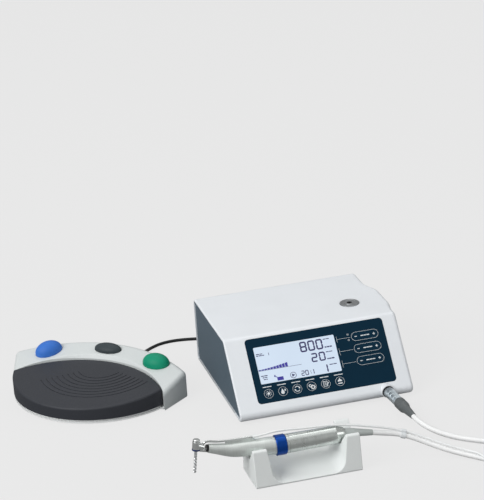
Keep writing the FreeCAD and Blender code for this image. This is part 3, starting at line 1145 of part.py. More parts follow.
# Push button on top of the head, spindle with its gear cone, drill, and the drive shaft
button_base = head_at + head_axis * (HEAD_UP + HEAD_BUTTON_TRAVEL + 0.1)
button = joined(rod(HEAD_BUTTON_RADIUS, button_base, button_base + head_axis * HEAD_BUTTON_HEIGHT),
                rod(HEAD_BUTTON_RADIUS - 1.6, button_base - head_axis * 3.2, button_base))
button = filleted(button, 1.4, lambda edge: edge.Closed and edge.CenterOfMass.z > button_base.z + 1.5)
add("head_push_button", button)
gear_at = head_at - head_axis * 1.6
spindle = joined(rod(SPINDLE_RADIUS, head_at - head_axis * (HEAD_DOWN + 0.4), gear_at),
                 taper(3.4, 2.2, gear_at, gear_at + head_axis * 1.4))
spindle = less(spindle, rod(SHANK_RADIUS + RUNNING, head_at - head_axis * 12, gear_at + head_axis * 0.5))
add("chuck_spindle", spindle)
drill_top = head_at - head_axis * (HEAD_DOWN + 0.5)
drill_end = drill_top - head_axis * DRILL_LENGTH
flute_start = drill_top - head_axis * 11
drill = joined(rod(SHANK_RADIUS, drill_top, head_at - head_axis * 1.4),
               rod(DRILL_RADIUS, flute_start, drill_top),
               rod(DRILL_RADIUS * 0.8, flute_start - head_axis * 5, flute_start),
               rod(DRILL_RADIUS, drill_end + head_axis * 2, flute_start - head_axis * 5),
               taper(DRILL_RADIUS, 0.5, drill_end + head_axis * 2, drill_end))
add("implant_drill", drill)
shaft_tip = neck_start - neck_way * 0.2
shaft_rear = neck_end - neck_way * 40
add("neck_shaft", joined(rod(SHAFT_RADIUS, shaft_tip, shaft_rear), rod(3.4, shaft_rear, shaft_rear - neck_way * 5),
                         rod(1.9, shaft_rear, shaft_rear + neck_way * 3)))

# Grey sleeve at the motor's rear end
boot_knee = hand(MOTOR_X[1] + 13, HAND_Z - 1.2)
sleeve_end = hand(MOTOR_BOOT_X, 34.7)
sleeve_way = sleeve_end.sub(boot_knee).normalize()
rear_boot = joined(taper(6.7, 5.6, hand(MOTOR_X[1]), boot_knee + sleeve_way * 2),
                   taper(5.5, MOTOR_CORD / 2 + 0.3, boot_knee, sleeve_end))
add("motor_boot", less(rear_boot, box((MOTOR_X[0], MOTOR_X[1]), (HAND_Y - 20, HAND_Y + 20), (0, far))))

# Cradle

def cradle_profile():
    """End profile with two peaks and a rounded notch."""
    notch_y = (CRADLE_PEAK_Y[0] + CRADLE_PEAK_Y[1]) / 2
    points = [V(CRADLE_X[0], CRADLE_Y[0], 0), V(CRADLE_X[0], CRADLE_PEAK_Y[0], CRADLE_PEAK_Z),
              V(CRADLE_X[0], CRADLE_PEAK_Y[0] + 5, CRADLE_PEAK_Z), V(CRADLE_X[0], notch_y, CRADLE_NOTCH_Z),
              V(CRADLE_X[0], CRADLE_PEAK_Y[1] - 5, CRADLE_PEAK_Z), V(CRADLE_X[0], CRADLE_PEAK_Y[1], CRADLE_PEAK_Z),
              V(CRADLE_X[0], CRADLE_Y[1], 0)]
    rounds = [2.5, 3.0, 2.4, CRADLE_NOTCH_ROUND, 2.4, 3.0, 2.5]
    return rounded_prism(points, rounds, V(CRADLE_X[1] - CRADLE_X[0], 0, 0))


cradle = cradle_profile()
trough_rise = (CRADLE_TROUGH_Z[1] - CRADLE_TROUGH_Z[0]) / (CRADLE_PEAK_Y[1] - CRADLE_Y[0])
trough_y = CRADLE_Y[0] - 10
trough_z = CRADLE_TROUGH_Z[0] - trough_rise * 10
outline = [V(CRADLE_POST_X[0] + CRADLE_LEAN, trough_y, trough_z), V(CRADLE_POST_X[1] - CRADLE_LEAN, trough_y, trough_z),
           V(CRADLE_POST_X[1] + 1, trough_y, 70), V(CRADLE_POST_X[0] - 1, trough_y, 70)]
trough_length = CRADLE_Y[1] - CRADLE_Y[0] + 20
trough = rounded_prism(outline, [CRADLE_TROUGH_ROUND, CRADLE_TROUGH_ROUND, 0, 0],
                       V(0, trough_length, trough_length * trough_rise))
cradle = less(cradle, trough)
cradle = filleted(cradle, 1.2, lambda edge: edge.BoundBox.ZMax > 4 and edge.BoundBox.YLength > 8
                  and edge.BoundBox.XLength < 30)
lying = joined(sheath_loft(-SEAM), hand_turned([(MOTOR_X[0] - 1, 0), (MOTOR_X[0] - 1, MOTOR_FRONT_RADIUS + SEAM),
                                                (chamfer_x, MOTOR_REAR_RADIUS + SEAM), (MOTOR_X[1], MOTOR_REAR_RADIUS + SEAM),
                                                (MOTOR_X[1], 0)]))
add("handpiece_cradle", less(cradle, lying))

# Motor cord: plug, stretch to the coil, coil, stretch back to the handpiece
plug_way = along_plug(1).sub(along_plug(0))
barrel_end = SOCKET_FLANGE_THICK + PLUG_BARREL
plug = joined(rod(PLUG_RADIUS, along_plug(-PLUG_INSERT), along_plug(barrel_end)),
              taper(PLUG_FLARE, PLUG_RADIUS - 0.1, along_plug(0.8), along_plug(9)))
band_cut = less(rod(PLUG_RADIUS + 1, along_plug(20), along_plug(20.8)),
                rod(PLUG_RADIUS - 0.4, along_plug(19), along_plug(22)))
boot_from = barrel_end - 1
boot_to = boot_from + PLUG_BOOT
plug_boot = joined(rod(PLUG_BOOT_RADIUS, along_plug(boot_from), along_plug(boot_from + 25)),
                   taper(PLUG_BOOT_RADIUS, 5.6, along_plug(boot_from + 25), along_plug(boot_from + 29)),
                   taper(5.6, MOTOR_CORD / 2 + 0.4, along_plug(boot_from + 29), along_plug(boot_to)))
shoulder_y = along_plug(boot_from + 1).y
plug_boot = filleted(plug_boot, 1.0, lambda edge: edge.Closed and edge.CenterOfMass.y > shoulder_y)
add("motor_plug", joined(less(plug, band_cut), plug_boot))
cord_start = along_plug(boot_to)


def ahead(point, way, distance):
    """Point in a direction, as a tuple."""
    return tuple(point + way * distance)


MOTOR_COIL = (352.0, -245.0, 52.5, 95.0, -1, 3.25, 2, MOTOR_CORD)
coil_in, lead_in, way_in = coil_end(MOTOR_COIL, 0.0, -1)
coil_out, lead_out, way_out = coil_end(MOTOR_COIL, 6.5, 1)
cord_a = [tuple(cord_start), ahead(cord_start, plug_way, 13), (217.9, -115.9, 12.2), (224.0, -125.9, 9.6),
          (232.0, -135.8, 7.0), (242.2, -146.0, 4.9), (254.0, -156.6, 3.6), (268.0, -168.6, MOTOR_CORD / 2),
          (282.5, -179.8, MOTOR_CORD / 2), (298.0, -188.6, MOTOR_CORD / 2), ahead(lead_in, way_in, -26), tuple(lead_in)]
cord_tube("motor_cord_plug_side", cord_a, MOTOR_CORD)
coil_tube("motor_cord_coil", MOTOR_COIL)
cord_b = [tuple(sleeve_end), ahead(sleeve_end, sleeve_way, 14), (167.0, -158.8, 27.8), (185.0, -164.2, 22.0),
          (202.5, -174.5, 15.2), (221.5, -189.5, 8.8), (241.5, -205.0, 4.8), (259.0, -221.5, MOTOR_CORD / 2),
          (273.0, -240.5, MOTOR_CORD / 2), (284.0, -261.0, 4.6), (296.5, -279.5, 7.2), (312.0, -293.5, 10.0),
          ahead(lead_out, way_out, 20), tuple(lead_out)]
cord_tube("motor_cord_hand_side", cord_b, MOTOR_CORD)

# Irrigation tube: along the handpiece, clipped on the cord, then its own coil and spike
TUBE_COIL = (322.0, -345.0, 27.0, 200.0, 1, 5.625, 2, TUBE)
tube_in, tube_lead_in, tube_way_in = coil_end(TUBE_COIL, 0.0, -1)
tube_out, tube_lead_out, tube_way_out = coil_end(TUBE_COIL, 11.25, 1)
pipe_end = pipe_points[-1]
pipe_way = pipe_end.sub(pipe_points[-2]).normalize()
tube_points = [tuple(pipe_end), ahead(pipe_end, pipe_way, 9), (-6.0, HAND_Y, 59.4), (5.0, HAND_Y, 60.6), (20.0, HAND_Y, 60.2),
               (38.0, HAND_Y, 58.2), (58.0, HAND_Y, 56.8), (78.0, HAND_Y, 55.6), (98.0, HAND_Y, 52.8),
               (117.0, HAND_Y, 48.2), (134.0, HAND_Y, 43.4), (150.0, HAND_Y, 38.9), (167.5, -158.6, 33.2),
               (186.0, -164.0, 27.4), (204.0, -174.4, 20.8), (223.0, -189.4, 14.6), (242.5, -204.8, 10.6),
               (257.5, -219.5, 9.4), (262.0, -238.0, 8.6), (261.0, -258.0, 5.0), (260.5, -279.0, 1.7),
               (264.0, -300.0, TUBE / 2), (274.0, -319.0, TUBE / 2), ahead(tube_lead_in, tube_way_in, -18), tuple(tube_lead_in)]
cord_tube("irrigation_tube", tube_points, TUBE)
coil_tube("irrigation_tube_coil", TUBE_COIL)
spike_flange = tube_lead_out.z
spike = joined(rod(2.0, tube_lead_out, tube_lead_out + tube_way_out * 24),
               rod(spike_flange, tube_lead_out + tube_way_out * 24, tube_lead_out + tube_way_out * 26.5),
               rod(2.6, tube_lead_out + tube_way_out * 26.5, tube_lead_out + tube_way_out * 44),
               taper(2.6, 0.3, tube_lead_out + tube_way_out * 44, tube_lead_out + tube_way_out * 54))
add("irrigation_spike", spike)

# Clip that ties the tube to the cord
clip_cord = (V(*cord_b[2]) + V(*cord_b[3])) * 0.5
clip_way = V(*cord_b[3]).sub(V(*cord_b[2])).normalize()
clip_tube_way = V(*tube_points[13]).sub(V(*tube_points[12])).normalize()
clip_tube = (V(*tube_points[12]) + V(*tube_points[13])) * 0.5
clip = joined(rod(MOTOR_CORD / 2 + 1.1, clip_cord - clip_way * 3, clip_cord + clip_way * 3),
              rod(TUBE / 2 + 1.1, clip_tube - clip_tube_way * 3, clip_tube + clip_tube_way * 3))
clip = less(clip, rod(MOTOR_CORD / 2 + SLIDING, clip_cord - clip_way * 5, clip_cord + clip_way * 5),
            rod(TUBE / 2 + SLIDING, clip_tube - clip_tube_way * 5, clip_tube + clip_tube_way * 5))
add("tube_clip", clip)

# Foot cable: from the housing's back to a coil behind the console, then up to its plug
FOOT_COIL = (125.0, 336.0, 32.0, -90.0, 1, 2.625, 4, FOOT_CABLE)
foot_in, foot_lead_in, foot_way_in = coil_end(FOOT_COIL, 0.0, -1)
foot_out, foot_lead_out, foot_way_out = coil_end(FOOT_COIL, 10.5, 1)
cable_from = foot_frame.multVec(boot_end)
cable_way = foot_frame.Rotation.multVec(back_way)
on_floor = FOOT_CABLE / 2
cable_points = [tuple(cable_from), ahead(cable_from, cable_way, 10), (-71.2, 268.2, 11.4), (-65.0, 281.0, 7.6),
                (-58.5, 293.5, 4.0), (-49.5, 303.8, on_floor), (-37.5, 310.8, on_floor), (-22.0, 314.0, on_floor),
                (-5.0, 313.0, on_floor), (12.0, 308.8, on_floor), (33.0, 302.0, on_floor), (56.0, 298.6, on_floor),
                (79.0, 300.0, on_floor), ahead(foot_lead_in, foot_way_in, -18), tuple(foot_lead_in)]
cord_tube("foot_cable", cable_points, FOOT_CABLE)
coil_tube("foot_cable_coil", FOOT_COIL)
grip_from = foot_socket_at + back_way * 1.7
grip_to = grip_from + back_way * 24
foot_plug_end = grip_to + back_way * 12
foot_plug = joined(rod(FOOT_PLUG_RADIUS, foot_socket_at - back_way * 11, grip_from), rod(7.0, grip_from, grip_to),
                   taper(5.0, 2.9, grip_to, foot_plug_end))
add("foot_plug", foot_plug)
tail_points = [tuple(foot_plug_end), ahead(foot_plug_end, back_way, 12), (40.8, 299.0, 26.2), (44.0, 315.0, 20.4),
               (50.5, 331.0, 15.2), (60.5, 346.0, 12.4), (74.5, 358.0, 12.2), (90.0, 365.6, 14.6),
               ahead(foot_lead_out, foot_way_out, 16), tuple(foot_lead_out)]
cord_tube("foot_cable_tail", tail_points, FOOT_CABLE)

# The row's origin is under the middle of everything but the cords
CORD_NODES = ("motor_cord_plug_side", "motor_cord_coil", "motor_cord_hand_side", "irrigation_tube",
              "irrigation_tube_coil", "irrigation_spike", "tube_clip", "foot_cable", "foot_cable_coil",
              "foot_cable_tail", "foot_plug", "motor_plug")
whole = FreeCAD.BoundBox()
for name, shape in NODES.items():
    if name not in CORD_NODES:
        whole.add(shape.BoundBox)
origin = V(round((whole.XMin + whole.XMax) / 2), round((whole.YMin + whole.YMax) / 2), 0)
print("origin in the console's frame:", origin, "box without cords", whole)
print("joint and mount places from the console's corner:", "hinge", hinge_x, hinge_y, "rod top", rod_top)

os.makedirs("parts", exist_ok=True)
for name, shape in NODES.items():
    moved = shape.copy()
    moved.translate(origin * -1)
    moved.exportStep("parts/%s.step" % name)
print(len(NODES), "nodes")
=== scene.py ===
import math

import bmesh
import bpy
from bpy.props import FloatProperty, FloatVectorProperty, IntProperty, PointerProperty, StringProperty
from mathutils import Matrix, Vector


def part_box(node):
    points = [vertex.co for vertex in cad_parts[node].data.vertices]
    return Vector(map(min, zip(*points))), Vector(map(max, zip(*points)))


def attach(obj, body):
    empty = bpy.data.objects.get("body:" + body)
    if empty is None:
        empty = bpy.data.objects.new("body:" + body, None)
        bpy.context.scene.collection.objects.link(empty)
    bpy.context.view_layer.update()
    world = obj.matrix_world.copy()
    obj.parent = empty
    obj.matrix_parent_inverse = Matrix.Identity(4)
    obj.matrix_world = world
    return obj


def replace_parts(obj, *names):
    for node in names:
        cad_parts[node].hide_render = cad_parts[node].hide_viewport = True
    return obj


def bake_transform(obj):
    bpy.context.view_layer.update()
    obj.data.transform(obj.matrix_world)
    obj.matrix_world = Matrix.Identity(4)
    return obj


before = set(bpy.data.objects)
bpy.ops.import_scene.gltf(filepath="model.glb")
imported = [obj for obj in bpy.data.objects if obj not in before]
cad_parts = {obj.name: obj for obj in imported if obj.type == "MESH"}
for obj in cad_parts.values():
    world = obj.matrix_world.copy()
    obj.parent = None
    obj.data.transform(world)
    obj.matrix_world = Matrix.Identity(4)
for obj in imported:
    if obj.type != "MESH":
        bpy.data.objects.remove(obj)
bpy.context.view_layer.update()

bl_info = {
    "name": "Implant motor finish",
    "version": (1, 0, 0),
    "blender": (4, 5, 0),
    "location": "3D View > Sidebar > Implant motor",
    "description": "Finishes, printing and cords of a dental implant motor",
    "category": "Object",
}

MM = 0.001
# Place of the console's front left corner in the row, in millimetres
CONSOLE_X, CONSOLE_Y = 11.0, -51.0


def linear(code):
    """Linear colour of an sRGB hex value."""
    parts = [int(code[i:i + 2], 16) / 255 for i in (1, 3, 5)]
    return tuple(c / 12.92 if c <= 0.04045 else ((c + 0.055) / 1.055) ** 2.4 for c in parts)


def in_row(x, y, z):
    """Point in the row's frame, in metres, from millimetres off the console's front left corner."""
    return Vector((x + CONSOLE_X, y + CONSOLE_Y, z)) * MM


# Sizes and colours that a user would change

def colour_setting(name, description, code):
    """A colour, whose default is an sRGB hex value."""
    return FloatVectorProperty(name=name, description=description, subtype="COLOR", default=linear(code),
                               min=0, max=1)


def length_setting(name, description, default, least, most):
    """A length in metres."""
    return FloatProperty(name=name, description=description, default=default, min=least, max=most,
                         unit="LENGTH")


class CaseSettings(bpy.types.PropertyGroup):
    shell: colour_setting("Shell", "Colour of the moulded shell", "#ecf0f4")
    inset: colour_setting("Side insets", "Colour of the slate side panels", "#52626e")
    grain: length_setting("Grain", "Distance between the bumps of the mould's grain", 0.0011, 0.0003, 0.003)


class PanelSettings(bpy.types.PropertyGroup):
    film: colour_setting("Film", "Colour printed behind the front film", "#02273a")
    print_colour: colour_setting("Printing", "Colour of the outlines and symbols", "#e6ebee")
    line: length_setting("Line", "Width of a printed line", 0.00032, 0.0002, 0.0015)


class DisplaySettings(bpy.types.PropertyGroup):
    glow: colour_setting("Backlight", "Colour of the lit display", "#dcecff")
    speed: StringProperty(name="Top figure", description="Digits of the top row", default="800", maxlen=4)
    torque: StringProperty(name="Middle figure", description="Digits of the middle row", default="20",
                           maxlen=3)
    program: StringProperty(name="Bottom figure", description="Digit of the bottom row", default="1",
                            maxlen=1)
    bars: IntProperty(name="Bars", description="Number of bars in the rising scale", default=10,
                      min=3, max=14)


class HandpieceSettings(bpy.types.PropertyGroup):
    steel: colour_setting("Steel", "Colour of the turned steel", "#d3d8d5")
    drill: length_setting("Drill", "Diameter of the drill", 0.0039, 0.002, 0.0039)
    ring: colour_setting("Ring", "Colour of the anodised ring", "#0a479f")


class FootSettings(bpy.types.PropertyGroup):
    pedal: colour_setting("Pedal", "Colour of the pedal's soft cover", "#292c33")
    blue: colour_setting("Left button", "Colour of the left button", "#3a73cb")
    grey: colour_setting("Middle button", "Colour of the middle button", "#394145")
    green: colour_setting("Right button", "Colour of the right button", "#08906e")


class CordSettings(bpy.types.PropertyGroup):
    motor: length_setting("Motor cord", "Thickness of the motor cord", 0.007, 0.003, 0.012)
    tube: length_setting("Irrigation tube", "Thickness of the irrigation tube", 0.003, 0.0015, 0.006)
    cable: length_setting("Foot cable", "Thickness of the foot control's cable", 0.0046, 0.003, 0.008)


# Material nodes

def set_inputs(tree, node, inputs):
    """Gives a node's inputs values or links; a node given as a value stands for its first output."""
    for socket, value in inputs.items():
        if isinstance(value, bpy.types.Node):
            value = value.outputs[0]
        if isinstance(value, bpy.types.NodeSocket):
            tree.links.new(value, node.inputs[socket])
        else:
            node.inputs[socket].default_value = value


def add_node(tree, kind, inputs=None, **settings):
    """Adds a shader node with its settings, values and links; kind is its type without ShaderNode."""
    made = tree.nodes.new("ShaderNode" + kind)
    for name, value in settings.items():
        setattr(made, name, value)
    set_inputs(tree, made, inputs or {})
    return made


def start_material(name):
    """New material, its nodes and the place on the object in metres."""
    material = bpy.data.materials.new(name)
    material.use_nodes = True
    tree = material.node_tree
    return material, tree, add_node(tree, "TexCoord").outputs["Object"]


def rgba(colour, factor=1.0):
    """Linear colour with its alpha, lighter or darker by a factor; colour is linear or an sRGB hex value."""
    parts = linear(colour) if isinstance(colour, str) else tuple(colour)
    return tuple(min(1.0, c * factor) for c in parts[:3]) + (1.0,)


def shade(material, pattern, dark, light, inputs, bump=None, strength=0.0, depth=0.0):
    """Colours a material from dark to light by a pattern, raises its bumps and sets its other inputs."""
    tree = material.node_tree
    mix = add_node(tree, "Mix", {"Factor": pattern, "A": dark, "B": light}, data_type="RGBA")
    inputs = {"Base Color": mix.outputs["Result"], **inputs}
    if bump:
        inputs["Normal"] = add_node(tree, "Bump", {"Height": bump, "Strength": strength, "Distance": depth})
    set_inputs(tree, tree.nodes["Principled BSDF"], inputs)
    return material


def moulded_plastic(name, colour, grain, relief, roughness, mottle=0.035, ior=1.5, specular=0.5):
    """Injection moulded plastic: its fine grain breaks the highlight, and flow gives a faint mottle."""
    # A real mould's grain is about 0.2 mm wide, too fine to show, so it is drawn 4 to 15 times as coarse
    material, tree, place = start_material(name)
    fine = add_node(tree, "TexNoise", {"Vector": place, "Scale": 1 / grain, "Detail": 2.0})
    flow = add_node(tree, "TexNoise", {"Vector": place, "Scale": 1 / 0.045, "Detail": 3.0})
    rough = add_node(tree, "MapRange", {"Value": fine, "From Min": 0.3, "From Max": 0.7,
                                        "To Min": roughness - 0.05, "To Max": roughness + 0.07})
    return shade(material, flow, rgba(colour, 1 - mottle), rgba(colour, 1 + mottle),
                 {"Roughness": rough, "IOR": ior, "Specular IOR Level": specular},
                 bump=fine, strength=0.35, depth=relief)


def turned_steel(name, colour, axis, pitch, roughness):
    """Steel turned on a lathe: fine rings round its axis draw the highlight out along it."""
    # Real rings are about 0.1 mm apart, too fine to show, so they are drawn 4 to 12 times as coarse
    material, tree, place = start_material(name)
    stretch = [1 / pitch if letter == axis else 30.0 for letter in "XYZ"]
    rings = add_node(tree, "Mapping", {"Vector": place, "Scale": stretch})
    lines = add_node(tree, "TexNoise", {"Vector": rings, "Scale": 1.0, "Detail": 2.0})
    cloud = add_node(tree, "TexNoise", {"Vector": place, "Scale": 1 / 0.012, "Detail": 4.0})
    rough = add_node(tree, "MapRange", {"Value": cloud, "From Min": 0.3, "From Max": 0.7,
                                        "To Min": roughness - 0.05, "To Max": roughness + 0.06})
    return shade(material, lines, rgba(colour, 0.9), rgba(colour, 1.06),
                 {"Roughness": rough, "Metallic": 1.0}, bump=lines, strength=0.1, depth=0.00001)


def faced_steel(name, colour, centre, pitch):
    """Steel faced on a lathe: rings round a centre on its flat top."""
    # The cutter's rings are about 0.1 mm apart, too fine to show, so they are drawn 7 times as coarse
    material, tree, place = start_material(name)
    moved = add_node(tree, "Mapping", {"Vector": place, "Location": -Vector(centre)})
    # At a scale of 1 the wave texture repeats every 0.314 m
    wave = add_node(tree, "TexWave",
                    {"Vector": moved, "Scale": 0.314 / pitch, "Distortion": 0.4, "Detail": 1.0},
                    wave_type="RINGS", rings_direction="Z")
    rings = wave.outputs["Fac"]
    return shade(material, rings, rgba(colour, 0.82), rgba(colour, 1.05),
                 {"Roughness": 0.34, "Metallic": 1.0}, bump=rings, strength=0.3, depth=0.00005)


def anodised_aluminium(name, colour):
    """Anodised aluminium: a dyed oxide skin over turned metal, satin and even."""
    # The turned rings are about 0.1 mm apart, too fine to show, so they are drawn 3 to 4 times as coarse
    material, tree, place = start_material(name)
    rings = add_node(tree, "Mapping", {"Vector": place, "Scale": (1 / 0.00035, 40.0, 40.0)})
    lines = add_node(tree, "TexNoise", {"Vector": rings, "Scale": 1.0, "Detail": 1.0})
    return shade(material, lines, rgba(colour, 0.85), rgba(colour, 1.1),
                 {"Roughness": 0.3, "Metallic": 0.75}, bump=lines, strength=0.2, depth=0.00003)


def moulded_rubber(name, colour, grain, roughness=0.62):
    """Moulded rubber: dull, with a fine dusty grain and a weak sheen at grazing angles."""
    # The real grain is about 0.1 mm wide, too fine to show, so it is drawn 6 to 7 times as coarse
    material, tree, place = start_material(name)
    grit = add_node(tree, "TexNoise", {"Vector": place, "Scale": 1 / grain, "Detail": 3.0})
    return shade(material, grit, rgba(colour, 0.88), rgba(colour, 1.1),
                 {"Roughness": roughness, "Sheen Weight": 0.08, "IOR": 1.5},
                 bump=grit, strength=0.4, depth=0.00006)


def extruded_jacket(name, colour, roughness, gloss=0.0):
    """Extruded cord jacket: smooth along the cord, with slow waves from the extruder."""
    material, tree, place = start_material(name)
    wave = add_node(tree, "TexNoise", {"Vector": place, "Scale": 1 / 0.006, "Detail": 2.0})
    return shade(material, wave, rgba(colour, 0.94), rgba(colour, 1.04),
                 {"Roughness": roughness, "IOR": 1.41, "Coat Weight": gloss, "Coat Roughness": 0.25},
                 bump=wave, strength=0.12, depth=0.0001)


def printed_film(name, colour):
    """Polyester film printed on its back: a velvet micro texture over a deep even colour."""
    # The texture's real cells are about 0.1 mm wide, too fine to show, so they are drawn 6 times as coarse
    material, tree, place = start_material(name)
    velvet = add_node(tree, "TexVoronoi", {"Vector": place, "Scale": 1 / 0.0006})
    broad = add_node(tree, "TexNoise", {"Vector": place, "Scale": 1 / 0.03, "Detail": 2.0})
    return shade(material, broad, rgba(colour, 0.92), rgba(colour, 1.12),
                 {"Roughness": 0.42, "Specular IOR Level": 0.12, "IOR": 1.5},
                 bump=velvet, strength=0.12, depth=0.00003)


def screen_ink(name, colour, roughness=0.5):
    """Screen printed ink: a thin dull layer with the mesh's faint pattern."""
    # A real screen's mesh is about 0.1 mm wide, too fine to show, so it is drawn 4 times as coarse
    material, tree, place = start_material(name)
    mesh = add_node(tree, "TexNoise", {"Vector": place, "Scale": 1 / 0.0004, "Detail": 1.0})
    return shade(material, mesh, rgba(colour, 0.93), rgba(colour, 1.04),
                 {"Roughness": roughness, "IOR": 1.45})


def backlit_crystal(name, colour):
    """Display glass with its backlight on: pale and nearly even, with slow clouds from the light guide."""
    material, tree, place = start_material(name)
    guide = add_node(tree, "TexNoise", {"Vector": place, "Scale": 1 / 0.07, "Detail": 1.0})
    glow = add_node(tree, "Mix", {"Factor": guide, "A": rgba(colour, 0.9), "B": rgba(colour, 1.03)},
                    data_type="RGBA")
    return shade(material, guide, rgba(colour, 0.4), rgba(colour, 0.44),
                 {"Emission Color": glow.outputs["Result"], "Emission Strength": 0.56,
                  "Roughness": 0.22, "IOR": 1.52})


def solder_mask(name, colour):
    """Fibreglass board under green lacquer, which is paler over its copper tracks."""
    material, tree, place = start_material(name)
    tracks = add_node(tree, "TexBrick",
                      {"Vector": place, "Scale": 1 / 0.012, "Mortar Size": 0.05, "Color1": rgba(colour, 0.9),
                       "Color2": rgba(colour, 1.15), "Mortar": rgba(colour, 1.7)})
    bump = add_node(tree, "Bump", {"Height": tracks.outputs["Fac"], "Strength": 0.3, "Distance": 0.00005})
    set_inputs(tree, tree.nodes["Principled BSDF"],
               {"Base Color": tracks.outputs["Color"], "Roughness": 0.35, "Normal": bump})
    return material


def nylon_with_pins(name, colour, pin_centre):
    """Black glass-filled nylon; its three blades are plated brass."""
    material, tree, place = start_material(name)
    split = add_node(tree, "SeparateXYZ", {"Vector": place})
    pins = add_node(tree, "Math", {0: split.outputs["Y"], 1: pin_centre.y}, operation="GREATER_THAN")
    for axis, centre, reach in (("X", pin_centre.x, 0.0083), ("Z", pin_centre.z, 0.0045)):
        near = add_node(tree, "Math", {0: split.outputs[axis], 1: centre, 2: reach}, operation="COMPARE")
        pins = add_node(tree, "Math", {0: pins, 1: near}, operation="MULTIPLY")
    grit = add_node(tree, "TexNoise", {"Vector": place, "Scale": 1 / 0.0006, "Detail": 2.0})
    rough = add_node(tree, "MapRange", {"Value": grit, "To Min": 0.3, "To Max": 0.6})
    return shade(material, pins, rgba(colour), rgba("#c8b98a"),
                 {"Metallic": pins, "Roughness": rough}, bump=grit, strength=0.25, depth=0.00005)


def finish_node(material, *nodes):
    """Gives CAD pieces their finish."""
    for name in nodes:
        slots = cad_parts[name].data.materials
        slots.clear()
        slots.append(material)


# Objects and meshes

def add_object(name, data):
    """Makes an object in the scene."""
    made = bpy.data.objects.new(name, data)
    bpy.context.scene.collection.objects.link(made)
    return made


def add_piece(name, bm, material, body, smooth_angle=None):
    """Makes a mesh object from bm and lets it ride on a body, if one is given."""
    bmesh.ops.remove_doubles(bm, verts=bm.verts, dist=1e-7)
    bmesh.ops.recalc_face_normals(bm, faces=bm.faces)
    mesh = bpy.data.meshes.new(name)
    bm.to_mesh(mesh)
    bm.free()
    if smooth_angle is not None:
        mesh.shade_smooth()
        mesh.set_sharp_from_angle(angle=math.radians(smooth_angle))
    piece = add_object(name, mesh)
    mesh.materials.append(material)
    if body:
        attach(piece, body)
    return piece


class Plane:
    """A flat place on the object, with u and v along it and w out of it."""

    def __init__(self, start, along, up):
        self.start = Vector(start)
        self.along = Vector(along).normalized()
        self.up = Vector(up).normalized()
        self.out = self.along.cross(self.up)

    def point(self, u, v, w):
        """Point in the row's frame, from millimetres on the plane."""
        return self.start + (self.along * u + self.up * v + self.out * w) * MM


def skin(bm, rings, closed=False):
    """Skin over rings of points, with a cap at each end or closed from the last ring to the first."""
    rings = [[bm.verts.new(point) for point in ring] for ring in rings]
    for low, high in zip(rings, rings[1:] + (rings[:1] if closed else [])):
        for i in range(len(low)):
            bm.faces.new((low[i - 1], low[i], high[i], high[i - 1]))
    if not closed:
        bm.faces.new(rings[0])
        bm.faces.new(rings[-1])


def angles(count):
    """Equal steps round a full turn, in radians."""
    return [math.tau * i / count for i in range(count)]


def spoke(side, across, angle):
    """Unit vector at an angle between two that are square to each other."""
    return side * math.cos(angle) + across * math.sin(angle)


def lathe(bm, profile, start, way, count=56):
    """Body of revolution: profile holds the distance along its axis and the radius there, in millimetres."""
    way = Vector(way).normalized()
    side = way.orthogonal().normalized()
    across = way.cross(side)
    spokes = [spoke(side, across, angle) for angle in angles(count)]
    skin(bm, [[start + (way * distance + out * radius) * MM for out in spokes]
              for distance, radius in profile])


def circle(u, v, radius, count=40, start=0.0, sweep=360.0):
    """Points on a circle or an arc."""
    steps = count if sweep == 360.0 else count + 1
    turns = [math.radians(start + sweep * i / count) for i in range(steps)]
    return [(u + radius * math.cos(turn), v + radius * math.sin(turn)) for turn in turns]


def pill(length, height, count=12):
    """Points round a slot shape."""
    reach = length / 2 - height / 2
    return circle(reach, 0, height / 2, count, -90, 180) + circle(-reach, 0, height / 2, count, 90, 180)


def rectangle(left, bottom, right, top):
    """Corners of a rectangle."""
    return [(left, bottom), (right, bottom), (right, top), (left, top)]


def stroke(points, width):
    """Outline of a line of the given width through points, mitred at its corners."""
    points = [Vector(point) for point in points]
    ways = [(after - before).normalized() for before, after in zip(points, points[1:])]
    left, right = [], []
    for point, before, after in zip(points, ways[:1] + ways, ways + ways[-1:]):
        normal = (before + after).orthogonal().normalized()
        reach = normal * (width / 2 / max(0.35, normal.dot(before.orthogonal())))
        left.append(point + reach)
        right.append(point - reach)
    return left + right[::-1]


# Front panel: its plane is found from the film that the CAD model carries

SLANT = math.radians(50.8)
PANEL_UP = Vector((0, math.cos(SLANT), math.sin(SLANT)))
# Where the film starts on the panel's plane, and how far its face and its back lie off it, in millimetres
FILM_U, FILM_V, FILM_TOP, FILM_BACK = 28.4, 23.4, 0.2, -1.0
FRONT = Plane(Vector(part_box("panel_overlay")[0])
              - Vector((FILM_U, FILM_V * PANEL_UP.y - FILM_TOP * PANEL_UP.z,
                        FILM_V * PANEL_UP.z + FILM_BACK * PANEL_UP.y)) * MM, (1, 0, 0), PANEL_UP)
GLASS_TOP, KEY_TOP = -0.05, 0.5
# The ink reaches this far above and below the face that carries it
INK = 0.04
ROUND_KEYS = {"round_key_%d" % (i + 1): (45.2 + 20.1 * i, 35.8) for i in range(6)}
PICTOGRAMS = ("lamp", "drops", "arrows", "gears", "list", "bell")
LONG_KEYS = {"rocker_key_%d" % (i + 1): (195.0, v) for i, v in enumerate((94.2, 76.7, 59.2))}
SEGMENTS = {"0": "abcdef", "1": "bc", "2": "abged", "3": "abgcd", "4": "fgbc", "5": "afgcd", "6": "afgedc",
            "7": "abc", "8": "abcdefg", "9": "abcdfg"}


